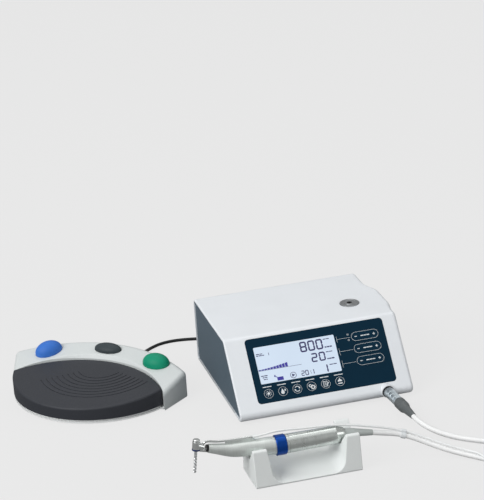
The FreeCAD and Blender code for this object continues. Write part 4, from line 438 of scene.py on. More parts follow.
class Printing:
    """Ink on the front panel, drawn in millimetres from a place on it, or larger by a factor."""

    def __init__(self, face, u=0.0, v=0.0):
        self.bm = bmesh.new()
        self.u, self.v, self.factor = u, v, 1.0
        self.low, self.high = face - INK, face + INK

    def points(self, outline, w):
        """Points of an outline at a height over the plane."""
        return [FRONT.point(self.u + self.factor * u, self.v + self.factor * v, w) for u, v in outline]

    def shape(self, outline):
        """Filled outline."""
        skin(self.bm, [self.points(outline, w) for w in (self.low, self.high)])

    def band(self, outer, inner):
        """Band between two outlines with as many points."""
        skin(self.bm, [self.points(outer, self.low), self.points(outer, self.high),
                       self.points(inner, self.high), self.points(inner, self.low)], closed=True)

    def ring(self, u, v, outer, inner, count=40):
        """Band between two circles."""
        self.band(circle(u, v, outer, count), circle(u, v, inner, count))

    def line(self, points, width):
        """Line through points."""
        self.shape(stroke(points, width))

    def rays(self, u, v, start, end, first, width):
        """Eight rays round a place, the first at an angle in degrees."""
        for turn in range(8):
            angle = math.radians(first + 45 * turn)
            way = Vector((math.cos(angle), math.sin(angle)))
            self.line([Vector((u, v)) + way * start, Vector((u, v)) + way * end], width)

    def caption(self, u, v, lengths, height):
        """Row of small bars that stands for a caption."""
        for length in lengths:
            self.shape(rectangle(u, v, u + length, v + height))
            u += length + 0.55

    def digit(self, figure, u, v, width, height, thick):
        """Seven segment digit with its lower left corner at u, v."""
        left, right, low, middle, high = u, u + width, v, v + height / 2, v + height
        ends = {"a": (left, high, right, high), "b": (right, middle, right, high),
                "c": (right, low, right, middle), "d": (left, low, right, low),
                "e": (left, low, left, middle), "f": (left, middle, left, high),
                "g": (left, middle, right, middle)}
        for segment in SEGMENTS[figure]:
            start, end = Vector(ends[segment][:2]), Vector(ends[segment][2:])
            along = (end - start).normalized() * thick
            side = along.orthogonal() / 2
            start, end = start - along * 0.12, end + along * 0.12
            self.shape([start, start + along / 2 + side, end - along / 2 + side, end,
                        end - along / 2 - side, start + along / 2 - side])


def white_ink(context):
    """The panel's white printing."""
    name = "screen_ink_white"
    return bpy.data.materials.get(name) or screen_ink(name, context.scene.implant_panel.print_colour)


class IMPLANT_OT_shell(bpy.types.Operator):
    """Finish the console's shell, its base and the slate insets"""
    bl_idname = "implant.shell"
    bl_label = "Shell"

    def execute(self, context):
        case = context.scene.implant_case
        white = moulded_plastic("moulded_abs_white", case.shell, case.grain, 0.00006, 0.42)
        finish_node(white, "case_upper")
        finish_node(moulded_plastic("moulded_abs_pale_grey", "#c9cdd0", case.grain, 0.00008, 0.5),
                    "case_base")
        # A coarser spark-eroded grain makes the insets look dull beside the shell
        inset = moulded_plastic("textured_abs_slate", case.inset, 0.0013, 0.00016, 0.52, 0.06, specular=0.4)
        finish_node(inset, "side_panel_left", "side_panel_right", "pump_door")
        return {"FINISHED"}


class IMPLANT_OT_sockets(bpy.types.Operator):
    """Finish the sockets, the mains switch and the steel plate on top"""
    bl_idname = "implant.sockets"
    bl_label = "Sockets"

    def execute(self, context):
        nylon = moulded_plastic("glass_filled_nylon_black", "#25282b", 0.0008, 0.00006, 0.45)
        finish_node(nylon, "motor_socket", "foot_socket", "mains_switch", "foot_plug")
        low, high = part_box("mains_inlet")
        blades = Vector(((low[0] + high[0]) / 2, low[1] + 6.7 * MM, (low[2] + high[2]) / 2))
        finish_node(nylon_with_pins("nylon_black_brass_pins", "#232629", blades), "mains_inlet")
        low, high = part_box("stand_rod_socket")
        centre = Vector(((low[0] + high[0]) / 2, (low[1] + high[1]) / 2, high[2]))
        finish_node(faced_steel("faced_stainless_steel", "#aaadaf", centre, 0.0007), "stand_rod_socket")
        return {"FINISHED"}


class IMPLANT_OT_inside(bpy.types.Operator):
    """Finish the pump, the boards, the screws and the feet"""
    bl_idname = "implant.inside"
    bl_label = "Pump, boards and feet"

    def execute(self, context):
        finish_node(moulded_plastic("acetal_white", "#dde1e3", 0.0009, 0.00004, 0.38), "pump_bed")
        finish_node(moulded_plastic("acetal_grey", "#aab1b6", 0.0009, 0.00004, 0.35), "pump_rotor")
        finish_node(moulded_rubber("moulded_rubber_black", "#232527", 0.0007), "rubber_feet")
        finish_node(turned_steel("zinc_plated_steel", "#b9bdc2", "Z", 0.0004, 0.3), "case_screws")
        finish_node(solder_mask("fibreglass_green", "#23613f"),
                    "control_board", "power_supply", "foot_board")
        return {"FINISHED"}


class IMPLANT_OT_film(bpy.types.Operator):
    """Print the front film"""
    bl_idname = "implant.film"
    bl_label = "Front film"

    def execute(self, context):
        panel = context.scene.implant_panel
        finish_node(printed_film("polyester_film_navy", panel.film), "panel_overlay")
        ink = Printing(FILM_TOP)
        for u, v in ROUND_KEYS.values():
            ink.caption(u - 6.2, v + 9.2, (5.2, 6.4), 1.1)
        # A bracket right of each row of the display, and a line from it to the row's long key
        bracket, bend, key_edge, width = 155.0, 168.0, 174.4, panel.line / MM * 0.9
        for (_, v), (low, high) in zip(LONG_KEYS.values(), ((90.2, 98.5), (71.7, 81.4), (54.1, 63.7))):
            middle = (low + high) / 2
            ink.line([(bracket, low), (bracket, high)], width)
            ink.line([(bracket + 0.3, middle), (bend, middle), (key_edge, v)], width)
        for v in (98.8, 90.8):
            ink.ring(171.5, v, 1.2, 0.8, 20)
        add_piece("panel_printing", ink.bm, white_ink(context), "main")
        return {"FINISHED"}


class IMPLANT_OT_long_keys(bpy.types.Operator):
    """Print an outline, a minus and a plus on each long key"""
    bl_idname = "implant.long_keys"
    bl_label = "Long keys"

    def execute(self, context):
        panel = context.scene.implant_panel
        keys = printed_film("polyester_key_film", tuple(c * 1.1 for c in panel.film))
        finish_node(keys, *ROUND_KEYS, *LONG_KEYS)
        length, height, rim = 38.6, 12.4, 2 * panel.line / MM
        arm, half = 1.7, 0.45
        cross = [(arm, -half), (arm, half), (half, half)]
        for _ in range(3):
            cross += [(-b, a) for a, b in cross[-3:]]
        for name, (u, v) in LONG_KEYS.items():
            ink = Printing(KEY_TOP, u, v)
            ink.band(pill(length, height), pill(length - rim, height - rim))
            ink.line([(-14.6, 0), (-11.4, 0)], 2 * half)
            ink.caption(-6.0, -0.7, (4.2, 3.2, 4.0), 1.3)
            ink.shape([(13.0 + a, b) for a, b in cross])
            add_piece(name + "_marks", ink.bm, white_ink(context), name)
        return {"FINISHED"}


class IMPLANT_OT_round_keys(bpy.types.Operator):
    """Print a ring and a pictogram on each round key"""
    bl_idname = "implant.round_keys"
    bl_label = "Round keys"

    def execute(self, context):
        radius, line = 6.4, context.scene.implant_panel.line / MM
        for (name, (u, v)), pictogram in zip(ROUND_KEYS.items(), PICTOGRAMS):
            ink = Printing(KEY_TOP, u, v)
            ink.ring(0, 0, radius, radius - line)
            ink.factor = 1.2
            self.draw_pictogram(ink, pictogram)
            add_piece(name + "_symbol", ink.bm, white_ink(context), name)
        return {"FINISHED"}

    def draw_pictogram(self, ink, pictogram):
        """Plain pictogram round the middle of a key."""
        if pictogram == "lamp":
            ink.shape(circle(0, 0.2, 1.5, 24))
            ink.rays(0, 0.2, 2.2, 3.5, 22.5, 0.6)
        elif pictogram == "drops":
            ink.shape(circle(-0.4, -1.1, 2.0, 24, 150, 240) + [(-0.4, 3.4)])
            ink.shape(circle(2.7, 1.0, 0.9, 18, 150, 240) + [(2.7, 3.0)])
        elif pictogram == "arrows":
            arc = circle(0, 0, 2.9, 12, 25, 120)
            u, v = arc[0]
            tip = [(u + 1.0, v + 0.5), (u - 1.2, v - 0.1), (u + 0.3, v - 1.7)]
            for side in (1, -1):
                ink.line([(side * a, side * b) for a, b in arc], 0.8)
                ink.shape([(side * a, side * b) for a, b in tip])
        elif pictogram == "gears":
            ink.ring(-1.4, 0.9, 1.8, 0.9, 28)
            ink.ring(1.5, -1.1, 2.3, 1.2, 28)
            ink.rays(1.5, -1.1, 2.1, 3.0, 0.0, 0.8)
        elif pictogram == "list":
            ink.band(rectangle(-2.9, -3.0, 2.2, 3.2), rectangle(-2.3, -2.4, 1.6, 2.6))
            for level in (1.4, 0.2, -1.0):
                ink.line([(-1.7, level), (0.8, level)], 0.5)
            ink.line([(1.2, -1.8), (3.6, 1.6)], 0.9)
        else:
            ink.shape(rectangle(-2.6, -2.8, 2.6, -1.6))
            ink.shape(circle(0, 0, 2.6, 16, 0, 180))
            ink.line([(0, 2.4), (0, 3.9)], 0.9)


class IMPLANT_OT_display(bpy.types.Operator):
    """Light the display and draw its figures"""
    bl_idname = "implant.display"
    bl_label = "Display"

    def execute(self, context):
        display = context.scene.implant_display
        finish_node(backlit_crystal("backlit_display_glass", display.glow), "lcd_module")
        self.draw_figures(display)
        self.draw_bars(display)
        return {"FINISHED"}

    def draw_figures(self, display):
        """Figures, captions and signs in dark segments."""
        ink = Printing(GLASS_TOP)
        right, gap = 133.2, 4.0
        for text, v, width, height, thick in ((display.speed, 85.8, 7.4, 12.6, 2.2),
                                              (display.torque, 69.4, 7.0, 10.8, 2.0),
                                              (display.program, 52.0, 5.5, 10.4, 2.0)):
            for place, figure in enumerate(reversed(text)):
                ink.digit(figure, right - width - place * (width + gap), v, width, height, thick)
        thin, bold = 1.2, 1.8
        for u, v, height, lengths in ((136.0, 97.4, thin, (3.6, 4.4)), (136.0, 85.8, bold, (2.4, 3.6, 3.2)),
                                      (136.0, 79.2, thin, (4.2, 4.6)), (136.0, 69.2, bold, (2.0, 2.6, 4.4)),
                                      (137.0, 61.0, thin, (5.0, 4.8)), (40.0, 91.6, thin, (4.6, 3.6)),
                                      (40.0, 89.4, thin, (3.0, 4.4, 2.6)), (40.2, 60.6, thin, (4.0, 4.6)),
                                      (42.0, 58.2, thin, (2.6, 3.4)), (43.0, 55.6, thin, (3.0, 2.0))):
            ink.caption(u, v, lengths, height)
        ink.digit("1", 56.0, 88.6, 1.6, 3.8, 0.8)
        # The gear ratio, 20 to 1
        for figure, u, width in (("2", 96.4, 3.6), ("0", 102.0, 3.6), ("1", 111.0, 2.6)):
            ink.digit(figure, u, 52.8, width, 6.2, 1.1)
        for v in (54.4, 57.0):
            ink.shape(circle(109.4, v, 0.6, 12))
        ink.line([(38.6, 68.6), (99.0, 68.6)], 0.45)
        ink.ring(84.5, 55.7, 4.4, 3.7, 36)
        ink.shape([(82.8, 53.4), (87.2, 55.7), (82.8, 58.0)])
        grey = screen_ink("display_segments_grey", "#3f3d6c", 0.3)
        add_piece("display_figures", ink.bm, grey, "main")

    def draw_bars(self, display):
        """Rising scale and a plain handpiece in violet segments."""
        ink = Printing(GLASS_TOP)
        start, foot, gap = 38.6, 69.0, 0.6
        pitch = 42.0 / display.bars
        tops = [foot + 1.3 + 4.9 * (i / display.bars) ** 1.6 for i in range(display.bars + 1)]
        for i, (top, next_top) in enumerate(zip(tops, tops[1:])):
            left, right = start + pitch * i, start + pitch * (i + 1) - gap
            ink.shape([(left, foot), (right, foot), (right, next_top), (left, top)])
        ink.shape(rectangle(61.6, 51.6, 70.4, 56.6))
        ink.line([(59.0, 59.0), (60.2, 57.2), (62.0, 57.2)], 0.9)
        ink.line([(58.4, 57.6), (59.6, 60.0)], 1.5)
        violet = screen_ink("display_segments_violet", "#4540a4", 0.3)
        add_piece("display_bars", ink.bm, violet, "main")


# Handpiece: the middle of its head, and the head's axis, which leans 7 degrees

HEAD_MIDDLE = in_row(-97.4, -158.0, 60.8)
HEAD_LEAN = math.radians(7.0)
HEAD_AXIS = Vector((math.sin(HEAD_LEAN), 0, math.cos(HEAD_LEAN)))


class IMPLANT_OT_motor(bpy.types.Operator):
    """Finish the motor, its rear sleeve and the blue ring"""
    bl_idname = "implant.motor"
    bl_label = "Motor"

    def execute(self, context):
        hand = context.scene.implant_handpiece
        finish_node(turned_steel("turned_stainless_steel", hand.steel, "X", 0.0009, 0.28), "motor_housing")
        finish_node(turned_steel("ground_steel", "#96989a", "X", 0.0004, 0.35), "neck_shaft", "motor_rotor")
        finish_node(anodised_aluminium("anodised_aluminium_blue", hand.ring), "blue_band")
        finish_node(moulded_rubber("moulded_rubber_pale_grey", "#b4bab8", 0.0006, 0.5), "motor_boot")
        return {"FINISHED"}


class IMPLANT_OT_contra_angle(bpy.types.Operator):
    """Finish the contra-angle's sheath and close its front end with a dark disc of painted shade for the gap
    round the neck
    """
    bl_idname = "implant.contra_angle"
    bl_label = "Contra-angle"

    def execute(self, context):
        steel = context.scene.implant_handpiece.steel
        # Bead blasting leaves the sheath paler and softer than the turned motor
        blasted = turned_steel("blasted_stainless_steel", [c * 1.2 for c in steel], "X", 0.0012, 0.42)
        finish_node(blasted, "contra_angle_sheath")
        finish_node(turned_steel("drawn_steel_pipe", "#d6d9d8", "X", 0.0004, 0.2), "spray_pipe")
        lean = math.radians(14.0)
        front = Plane(in_row(-82.5, -158.0, 53.7), (0, -1, 0), (math.sin(lean), 0, math.cos(lean)))
        # The dark disc of painted shade is open where the neck comes out, 2.8 mm below its middle
        rim, neck = circle(0, 0, 4.7, 40, -58.1, 296.2), circle(0, -2.81, 2.75, 28, 205.4, -230.8)
        back, face = -0.1, 2.8
        bm = bmesh.new()
        skin(bm, [[front.point(u, v, w) for u, v in rim + neck] for w in (back, face)])
        # Painted shade: a dark sheet stands where the gap between the sheath and the head lies in shade
        painted_shade = moulded_plastic("painted_shade_black", "#101214", 0.001, 0.00001, 0.18)
        add_piece("painted_shade_disc", bm, painted_shade, "main")
        return {"FINISHED"}


class IMPLANT_OT_head(bpy.types.Operator):
    """Finish the head with its button and its dark blue ring"""
    bl_idname = "implant.head"
    bl_label = "Head"

    def execute(self, context):
        finish_node(turned_steel("polished_stainless_steel", "#dadddc", "Z", 0.0004, 0.2),
                    "head_housing", "head_push_button", "chuck_spindle")
        low, high, inner, edge, outer = -6.9, -4.9, 4.6, 5.1, 5.22
        profile = [(low, inner), (low, edge), (low + 0.3, outer),
                   (high - 0.3, outer), (high, edge), (high, inner)]
        bm = bmesh.new()
        lathe(bm, profile, HEAD_MIDDLE, HEAD_AXIS)
        blue = anodised_aluminium("anodised_aluminium_dark_blue", "#16306e")
        add_piece("head_colour_ring", bm, blue, "main", 35)
        return {"FINISHED"}


class IMPLANT_OT_drill(bpy.types.Operator):
    """Make the drill with its shank, its collar and two helical flutes"""
    bl_idname = "implant.drill"
    bl_label = "Drill"

    def execute(self, context):
        side = Vector((0, 1, 0))
        across = HEAD_AXIS.cross(side)
        top = HEAD_MIDDLE - HEAD_AXIS * 1.4 * MM
        radius = context.scene.implant_handpiece.drill / 2 / MM - 0.02
        shank, waist, neck, end = 1.2, radius - 0.4, 6.5, 37.0
        fluted, tip, steps, fade = neck + 6.6, end - 1.6, 72, 6
        lead, depth = 9.0, 0.34
        # A section has its distance from the top, its radius and its part of the flutes' full depth
        sections = [(0, shank, 0), (neck, shank, 0), (neck, radius, 0), (neck + 5.2, radius, 0),
                    (neck + 5.5, waist, 0), (neck + 6.2, waist, 0), (fluted, radius, 0)]
        for i in range(1, steps + 1):
            sections.append((fluted + (tip - fluted) * i / steps, radius, min(1.0, i / fade)))
        sections += [(end - 0.7, radius * 0.8, 1.0), (end, 0.4, 0.4)]
        rings = []
        for along, reach, flute in sections:
            turn = along / lead * math.tau
            ring = []
            for angle in angles(48):
                groove = max(0.0, math.cos(2 * (angle - turn))) ** 1.5
                away = spoke(side, across, angle) * reach * (1 - depth * groove * flute)
                ring.append(top + (away - HEAD_AXIS * along) * MM)
            rings.append(ring)
        bm = bmesh.new()
        skin(bm, rings)
        steel = turned_steel("ground_drill_steel", "#dcdedf", "Z", 0.0008, 0.3)
        piece = add_piece("fluted_drill", bm, steel, "chuck", 40)
        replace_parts(piece, "implant_drill")
        return {"FINISHED"}


class IMPLANT_OT_cradle(bpy.types.Operator):
    """Finish the handpiece's cradle"""
    bl_idname = "implant.cradle"
    bl_label = "Cradle"

    def execute(self, context):
        finish_node(moulded_plastic("moulded_abs_cradle", "#ecf0ef", 0.0012, 0.00008, 0.45),
                    "handpiece_cradle")
        return {"FINISHED"}


class IMPLANT_OT_foot_shell(bpy.types.Operator):
    """Finish the foot control's shell, its base and its pedal"""
    bl_idname = "implant.foot_shell"
    bl_label = "Foot control"

    def execute(self, context):
        finish_node(moulded_plastic("moulded_abs_foot_shell", "#d3d8d8", 0.0012, 0.00008, 0.45),
                    "foot_housing")
        finish_node(moulded_plastic("moulded_abs_foot_base", "#eceeee", 0.003, 0.00002, 0.5), "foot_base")
        # A matt grained cover gives grip, so the pedal reads darker and softer than the shell
        pedal = context.scene.implant_foot.pedal
        finish_node(moulded_plastic("soft_pvc_charcoal", pedal, 0.0016, 0.0002, 0.6, 0.05), "foot_pedal")
        return {"FINISHED"}


class IMPLANT_OT_foot_spring(bpy.types.Operator):
    """Wind the pedal's return spring to the height of its solid; the real spring shortens as the pedal goes
    down
    """
    bl_idname = "implant.foot_spring"
    bl_label = "Pedal spring"

    def execute(self, context):
        low, high = (Vector(corner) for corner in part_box("pedal_spring"))
        foot = Vector(((low.x + high.x) / 2, (low.y + high.y) / 2, low.z))
        wire, turns, per_turn = 0.6 * MM, 5.5, 32
        radius = (high.x - low.x) / 2 - wire
        steps = int(turns * per_turn)
        right, back, up = Matrix.Identity(3)
        rings = []
        for i in range(steps + 1):
            # The first and last turns lie flat, as they do on a closed spring
            climb = min(1.0, max(0.0, (i - per_turn) / (steps - 2 * per_turn)))
            flat = wire * 2 * (min(1.0, i / per_turn) + min(1.0, max(0.0, i - steps + per_turn) / per_turn))
            height = wire + flat + climb * (high.z - low.z - 6 * wire)
            outwards = spoke(right, back, math.tau * i / per_turn)
            middle = foot + outwards * radius + up * height
            rings.append([middle + spoke(outwards, up, angle) * wire for angle in angles(10)])
        bm = bmesh.new()
        skin(bm, rings)
        steel = turned_steel("drawn_spring_steel", "#8f9296", "Z", 0.001, 0.35)
        spring = add_piece("pedal_return_spring", bm, steel, None, 50)
        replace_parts(spring, "pedal_spring")
        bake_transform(spring)
        return {"FINISHED"}


class IMPLANT_OT_foot_buttons(bpy.types.Operator):
    """Finish the three domed buttons"""
    bl_idname = "implant.foot_buttons"
    bl_label = "Foot buttons"

    def execute(self, context):
        for colour in ("blue", "grey", "green"):
            dye = getattr(context.scene.implant_foot, colour)
            # Silicone mirrors less than hard plastic, so the buttons keep their full colour
            finish_node(moulded_plastic("moulded_silicone_" + colour, dye, 0.0014, 0.00008, 0.52, 0.05,
                                        ior=1.41, specular=0.35), "foot_button_" + colour)
        return {"FINISHED"}


# Cords: the routes are those of the solids, in millimetres from the console's front left corner

PLUG_START = (213.551, -91.797, 13.8)
PLUG_WAY = (0.068015, -0.997684, 0.0)
MOTOR_ROUTE_OUT = [PLUG_START, (214.435, -104.767, 13.8), (217.9, -115.9, 12.2), (224.0, -125.9, 9.6),
                   (232.0, -135.8, 7.0), (242.2, -146.0, 4.9), (254.0, -156.6, 3.6), (268.0, -168.6, 3.5),
                   (282.5, -179.8, 3.5), (298.0, -188.6, 3.5), (314.55, -195.576, 3.5),
                   (333.477, -193.92, 3.5)]
MOTOR_ROUTE_BACK = [(311.5, -293.0, 10.0), (296.5, -279.5, 7.2), (284.0, -261.0, 4.6), (273.0, -240.5, 3.5),
                    (259.0, -221.5, 3.5), (241.5, -205.0, 4.8), (221.5, -189.5, 8.8), (202.5, -174.5, 15.2),
                    (185.0, -164.2, 22.0), (167.0, -158.8, 27.8), (148.5, -158.0, 31.33),
                    (135.0, -158.0, 34.7)]
TUBE_ROUTE = [(-24.0, -158.0, 58.5), (-15.0, -158.0, 58.32), (-6.0, -158.0, 59.4), (5.0, -158.0, 60.6),
              (20.0, -158.0, 60.2), (38.0, -158.0, 58.2), (58.0, -158.0, 56.8), (78.0, -158.0, 55.6),
              (98.0, -158.0, 52.8), (117.0, -158.0, 48.2), (134.0, -158.0, 43.4), (150.0, -158.0, 38.9),
              (167.5, -158.6, 33.2), (186.0, -164.0, 27.4), (204.0, -174.4, 20.8), (223.0, -189.4, 14.6),
              (242.5, -204.8, 10.6), (257.5, -219.5, 9.4), (262.0, -238.0, 8.6), (261.0, -258.0, 5.0),
              (260.5, -279.0, 1.7), (264.0, -300.0, 1.5), (274.0, -319.0, 1.5)]
FOOT_ROUTE = [(-83.486, 249.674, 14.0), (-77.11, 257.38, 14.0), (-71.2, 268.2, 11.4), (-65.0, 281.0, 7.6),
              (-58.5, 293.5, 4.0), (-49.5, 303.8, 2.3), (-37.5, 310.8, 2.3), (-22.0, 314.0, 2.3),
              (-5.0, 313.0, 2.3), (12.0, 308.8, 2.3), (33.0, 302.0, 2.3), (56.0, 298.6, 2.3),
              (79.0, 300.0, 2.3)]
FOOT_TAIL = [(105.4, 368.0, 17.6), (90.0, 365.6, 14.6), (74.5, 358.0, 12.2), (60.5, 346.0, 12.4),
             (50.5, 331.0, 15.2), (44.0, 315.0, 20.4), (40.8, 299.0, 26.2), (40.0, 283.7, 30.0),
             (40.0, 271.7, 30.0)]


def ease(t):
    """Smooth step from 0 to 1."""
    return t * t * (3 - 2 * t)


def coil_route(centre_x, centre_y, outer, start, sense, per_layer, layers, diameter, count=16):
    """Points of a coil that spirals in and out again and climbs a layer at each reversal."""
    pitch = diameter + 0.5
    turns = per_layer * layers
    steps = int(round(turns * count))
    points = []
    for i in range(steps + 1):
        turn = turns * i / steps
        phase = turn / per_layer % 2
        inwards = phase if phase <= 1 else 2 - phase
        # The curve runs inside its points, so they lie a little further out than the coil
        radius = (outer - pitch * per_layer * inwards) / math.cos(math.pi / count)
        climbs = (min(1, max(0, (turn - (step * per_layer - 0.25)) / 0.5)) for step in range(1, layers))
        height = diameter / 2 + pitch * sum(ease(climb) for climb in climbs)
        angle = math.radians(start) + sense * math.tau * turn
        points.append((centre_x + radius * math.cos(angle), centre_y + radius * math.sin(angle), height))
    return points


def add_cord(name, route, diameter, material, body):
    """Cord as one smooth curve through its route."""
    curve = bpy.data.curves.new(name, "CURVE")
    curve.dimensions = "3D"
    curve.bevel_depth = diameter / 2
    curve.bevel_resolution = 5
    curve.resolution_u = 5
    curve.use_fill_caps = True
    spline = curve.splines.new("NURBS")
    spline.points.add(len(route) - 1)
    for point, place in zip(spline.points, route):
        point.co = (*in_row(*place), 1.0)
    spline.use_endpoint_u = True
    spline.order_u = 3
    piece = add_object(name, curve)
    curve.materials.append(material)
    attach(piece, body)
    return piece


class IMPLANT_OT_motor_plug(bpy.types.Operator):
    """Make the motor cord's metal plug and its ribbed rubber boot"""
    bl_idname = "implant.motor_plug"
    bl_label = "Motor plug"

    def execute(self, context):
        socket = in_row(207.6, -4.5, 13.8)
        barrel = bmesh.new()
        profile = [(-14.0, 5.9), (1.3, 6.0), (1.3, 7.0), (1.8, 7.3), (13.0, 7.2), (13.4, 6.7), (14.6, 6.7),
                   (15.0, 7.1), (21.0, 7.1), (21.3, 6.8), (22.1, 6.8), (22.4, 7.1), (30.0, 7.1), (30.4, 6.6),
                   (31.4, 6.6), (31.8, 7.0), (38.6, 7.0)]
        lathe(barrel, profile, socket, PLUG_WAY)
        steel = turned_steel("turned_plug_barrel", "#dbe4e8", "Y", 0.0012, 0.4)
        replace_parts(add_piece("motor_plug_barrel", barrel, steel, "main", 35), "motor_plug")
        boot = bmesh.new()
        start, end, rib, groove = 38.4, 87.5, 7.95, 7.6
        profile = [(start, 6.4), (start, 7.5), (start + 0.7, 7.9)]
        for i in range(4):
            at = start + 3.0 + i * 3.2
            profile += [(at, rib), (at + 0.4, groove), (at + 1.1, groove), (at + 1.5, rib)]
        profile += [(start + 16 + i, 7.9 - 2.1 * ease(i / 10)) for i in range(11)]
        profile += [(end - 3, 4.2), (end - 0.6, 4.0), (end, 3.6)]
        lathe(boot, profile, socket, PLUG_WAY)
        rubber = moulded_rubber("moulded_rubber_plug_boot", "#5a5f60", 0.0006, 0.5)
        add_piece("motor_plug_boot", boot, rubber, "main", 35)
        return {"FINISHED"}


class IMPLANT_OT_motor_cord(bpy.types.Operator):
    """Lay the cord from the console's plug through its coil to the motor"""
    bl_idname = "implant.motor_cord"
    bl_label = "Motor cord"

    def execute(self, context):
        diameter = context.scene.implant_cords.motor
        coil = coil_route(352.0, -245.0, 52.5, 95.0, -1, 3.25, 2, 7.0)
        last, before = Vector(coil[-1]), Vector(coil[-2])
        lead = last + (last - before).normalized() * 20
        route = MOTOR_ROUTE_OUT + coil + [lead] + MOTOR_ROUTE_BACK
        jacket = extruded_jacket("silicone_jacket_white", "#fafbfb", 0.42)
        piece = add_cord("motor_cord", route, diameter, jacket, "main")
        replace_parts(piece, "motor_cord_plug_side", "motor_cord_coil", "motor_cord_hand_side")
        return {"FINISHED"}


class IMPLANT_OT_irrigation_tube(bpy.types.Operator):
    """Lay the tube from the handpiece's spray pipe through its coil to the bag spike"""
    bl_idname = "implant.irrigation_tube"
    bl_label = "Irrigation tube"

    def execute(self, context):
        diameter = context.scene.implant_cords.tube
        coil = coil_route(322.0, -345.0, 27.0, 200.0, 1, 5.625, 2, 3.0)
        end = Vector(coil[-1]) + Vector((0.93969, 0.34202, 0)) * 3.0
        route = TUBE_ROUTE + coil + [end]
        clear = extruded_jacket("silicone_tube_milky", "#f7f9f9", 0.3, 0.2)
        piece = add_cord("irrigation_line", route, diameter, clear, "main")
        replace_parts(piece, "irrigation_tube", "irrigation_tube_coil")
        finish_node(moulded_plastic("polycarbonate_clear_white", "#e7ebed", 0.001, 0.00002, 0.25),
                    "tube_clip", "irrigation_spike")
        return {"FINISHED"}


class IMPLANT_OT_foot_cable(bpy.types.Operator):
    """Lay the cable from the foot control through its coil to its plug in the console's back"""
    bl_idname = "implant.foot_cable"
    bl_label = "Foot cable"

    def execute(self, context):
        diameter = context.scene.implant_cords.cable
        coil = coil_route(125.0, 336.0, 32.0, -90.0, 1, 2.625, 4, 4.6)
        route = FOOT_ROUTE + coil + FOOT_TAIL
        black = extruded_jacket("pvc_jacket_black", "#1d1f21", 0.45)
        piece = add_cord("foot_control_cable", route, diameter, black, "main")
        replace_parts(piece, "foot_cable", "foot_cable_coil", "foot_cable_tail")
        finish_node(moulded_rubber("moulded_rubber_cable_boot", "#1f2224", 0.0006), "foot_cable_boot")
        return {"FINISHED"}


# The photograph's camera: its place, its angles, its focal length and the picture's height in pixels

CAMERA_PLACE = in_row(-671.6, -2810.7, 1361.0)
YAW, PITCH, ROLL = (math.radians(angle) for angle in (13.8, 21.0, -4.05))
FOCAL_PIXELS, PHOTO_HEIGHT, SENSOR = 2376.1, 500, 36.0


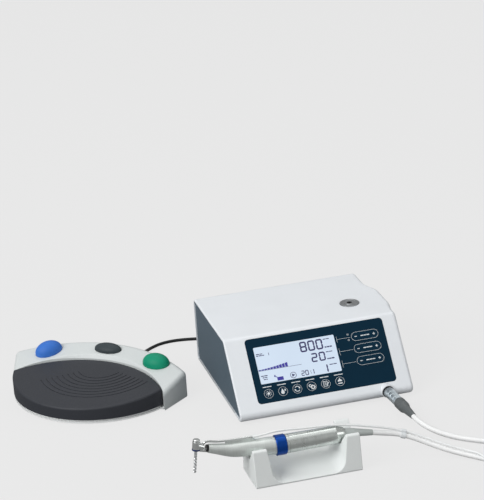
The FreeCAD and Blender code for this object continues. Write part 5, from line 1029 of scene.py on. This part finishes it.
class IMPLANT_OT_stage(bpy.types.Operator):
    """Set the floor, the lights and the camera"""
    bl_idname = "implant.stage"
    bl_label = "Stage"

    def execute(self, context):
        self.floor()
        self.world(context)
        self.lamp("key", (-2.3, -1.0, 2.0), 2.2, 69)
        self.lamp("fill", (2.0, -1.9, 1.0), 1.6, 10)
        self.lamp("top", (0.2, 1.1, 2.4), 2.0, 11)
        self.camera(context)
        context.scene.view_settings.view_transform = "Standard"
        return {"FINISHED"}

    def ray_kinds(self, tree):
        """One for the camera's rays, and one for those that a mirror or a glass sends on."""
        kinds = add_node(tree, "LightPath").outputs
        mirrored = add_node(tree, "Math", {0: kinds["Is Glossy Ray"], 1: kinds["Is Transmission Ray"]},
                            operation="MAXIMUM")
        return kinds["Is Camera Ray"], mirrored

    def floor(self):
        """Pale floor that keeps the shadow and shows white to the camera."""
        bm = bmesh.new()
        bmesh.ops.create_grid(bm, x_segments=1, y_segments=1, size=14.0)
        mesh = bpy.data.meshes.new("floor")
        bm.to_mesh(mesh)
        bm.free()
        floor = add_object("floor", mesh)
        floor.location = (0, 0, -0.0002)
        material = bpy.data.materials.new("matt_paper_white")
        material.use_nodes = True
        tree = material.node_tree
        paper = tree.nodes["Principled BSDF"]
        set_inputs(tree, paper, {"Base Color": (0.26, 0.26, 0.26, 1), "Roughness": 0.9,
                                 "Specular IOR Level": 0.1})
        straight, mirrored = self.ray_kinds(tree)
        bright = add_node(tree, "Math", {0: straight, 1: 0.75}, operation="MULTIPLY")
        share = add_node(tree, "Math", {0: mirrored, 1: 0.06, 2: bright}, operation="MULTIPLY_ADD")
        white = add_node(tree, "Emission", {"Color": (1, 1, 1, 1), "Strength": 1.0})
        mix = add_node(tree, "MixShader", {0: share, 1: paper, 2: white})
        set_inputs(tree, tree.nodes["Material Output"], {"Surface": mix})
        mesh.materials.append(material)

    def world(self, context):
        """Soft studio light that metal sees brightest overhead."""
        world = bpy.data.worlds.new("studio")
        context.scene.world = world
        world.use_nodes = True
        tree = world.node_tree
        straight, mirrored = self.ray_kinds(tree)
        way = add_node(tree, "TexCoord").outputs["Generated"]
        height = add_node(tree, "SeparateXYZ", {"Vector": way}).outputs["Z"]
        tent = add_node(tree, "MapRange", {"Value": height, "From Min": 0.78, "From Max": 0.95,
                                           "To Min": 0.36, "To Max": 1.0}, interpolation_type="SMOOTHSTEP")
        seen = add_node(tree, "Math", {0: mirrored, 1: tent, 2: straight}, operation="MULTIPLY_ADD")
        strength = add_node(tree, "Math", {0: seen, 1: 0.4}, operation="MAXIMUM")
        set_inputs(tree, tree.nodes["Background"], {"Color": (1, 1, 1, 1), "Strength": strength})

    def lamp(self, name, place, size, power):
        """Large round lamp that looks at the row's middle."""
        lamp = bpy.data.lights.new(name, "AREA")
        lamp.shape = "DISK"
        lamp.size = size
        lamp.energy = power
        holder = add_object(name, lamp)
        holder.location = place
        holder.rotation_euler = (Vector((0, 0, 0.05)) - Vector(place)).to_track_quat("-Z", "Y").to_euler()

    def camera(self, context):
        """Camera at the photograph's place."""
        ahead = Vector((math.sin(YAW) * math.cos(PITCH), math.cos(YAW) * math.cos(PITCH), -math.sin(PITCH)))
        level = ahead.cross(Vector((0, 0, 1))).normalized()
        upright = level.cross(ahead)
        right = spoke(level, upright, ROLL)
        data = bpy.data.cameras.new("camera")
        data.sensor_width = SENSOR
        data.lens = FOCAL_PIXELS / PHOTO_HEIGHT * SENSOR
        data.clip_end = 50
        camera = add_object("camera", data)
        turn = Matrix((right, right.cross(ahead), -ahead)).transposed().to_4x4()
        camera.matrix_world = Matrix.Translation(CAMERA_PLACE) @ turn
        context.scene.camera = camera


class IMPLANT_PT_sidebar(bpy.types.Panel):
    bl_idname = "IMPLANT_PT_sidebar"
    bl_label = "Implant motor"
    bl_space_type = "VIEW_3D"
    bl_region_type = "UI"
    bl_category = "Implant motor"

    def draw(self, context):
        for title, group, _, operators in STEPS:
            box = self.layout.box()
            box.label(text=title)
            if group:
                settings = getattr(context.scene, group)
                for name in settings.__annotations__:
                    box.prop(settings, name)
            for operator in operators:
                box.operator(operator.bl_idname)


# The steps in the order in which they run, each with its settings
STEPS = (
    ("Stage", None, None, (IMPLANT_OT_stage,)),
    ("Cords", "implant_cords", CordSettings,
     (IMPLANT_OT_motor_plug, IMPLANT_OT_motor_cord, IMPLANT_OT_irrigation_tube, IMPLANT_OT_foot_cable)),
    ("Console", "implant_case", CaseSettings, (IMPLANT_OT_shell, IMPLANT_OT_sockets, IMPLANT_OT_inside)),
    ("Front panel", "implant_panel", PanelSettings,
     (IMPLANT_OT_film, IMPLANT_OT_long_keys, IMPLANT_OT_round_keys)),
    ("Display", "implant_display", DisplaySettings, (IMPLANT_OT_display,)),
    ("Handpiece", "implant_handpiece", HandpieceSettings,
     (IMPLANT_OT_motor, IMPLANT_OT_contra_angle, IMPLANT_OT_head, IMPLANT_OT_drill, IMPLANT_OT_cradle)),
    ("Foot control", "implant_foot", FootSettings,
     (IMPLANT_OT_foot_shell, IMPLANT_OT_foot_spring, IMPLANT_OT_foot_buttons)),
)
GROUPS = {group: settings for _, group, settings, _ in STEPS if group}
OPERATORS = [operator for *_, operators in STEPS for operator in operators]
CLASSES = (*GROUPS.values(), *OPERATORS, IMPLANT_PT_sidebar)


def register():
    for cls in CLASSES:
        bpy.utils.register_class(cls)
    for name, settings in GROUPS.items():
        setattr(bpy.types.Scene, name, PointerProperty(type=settings))


def unregister():
    for name in GROUPS:
        delattr(bpy.types.Scene, name)
    for cls in reversed(CLASSES):
        bpy.utils.unregister_class(cls)


def main():
    """Builds everything in order."""
    register()
    for operator in OPERATORS:
        getattr(bpy.ops.implant, operator.bl_idname.partition(".")[2])()


if __name__ == "__main__":
    main()
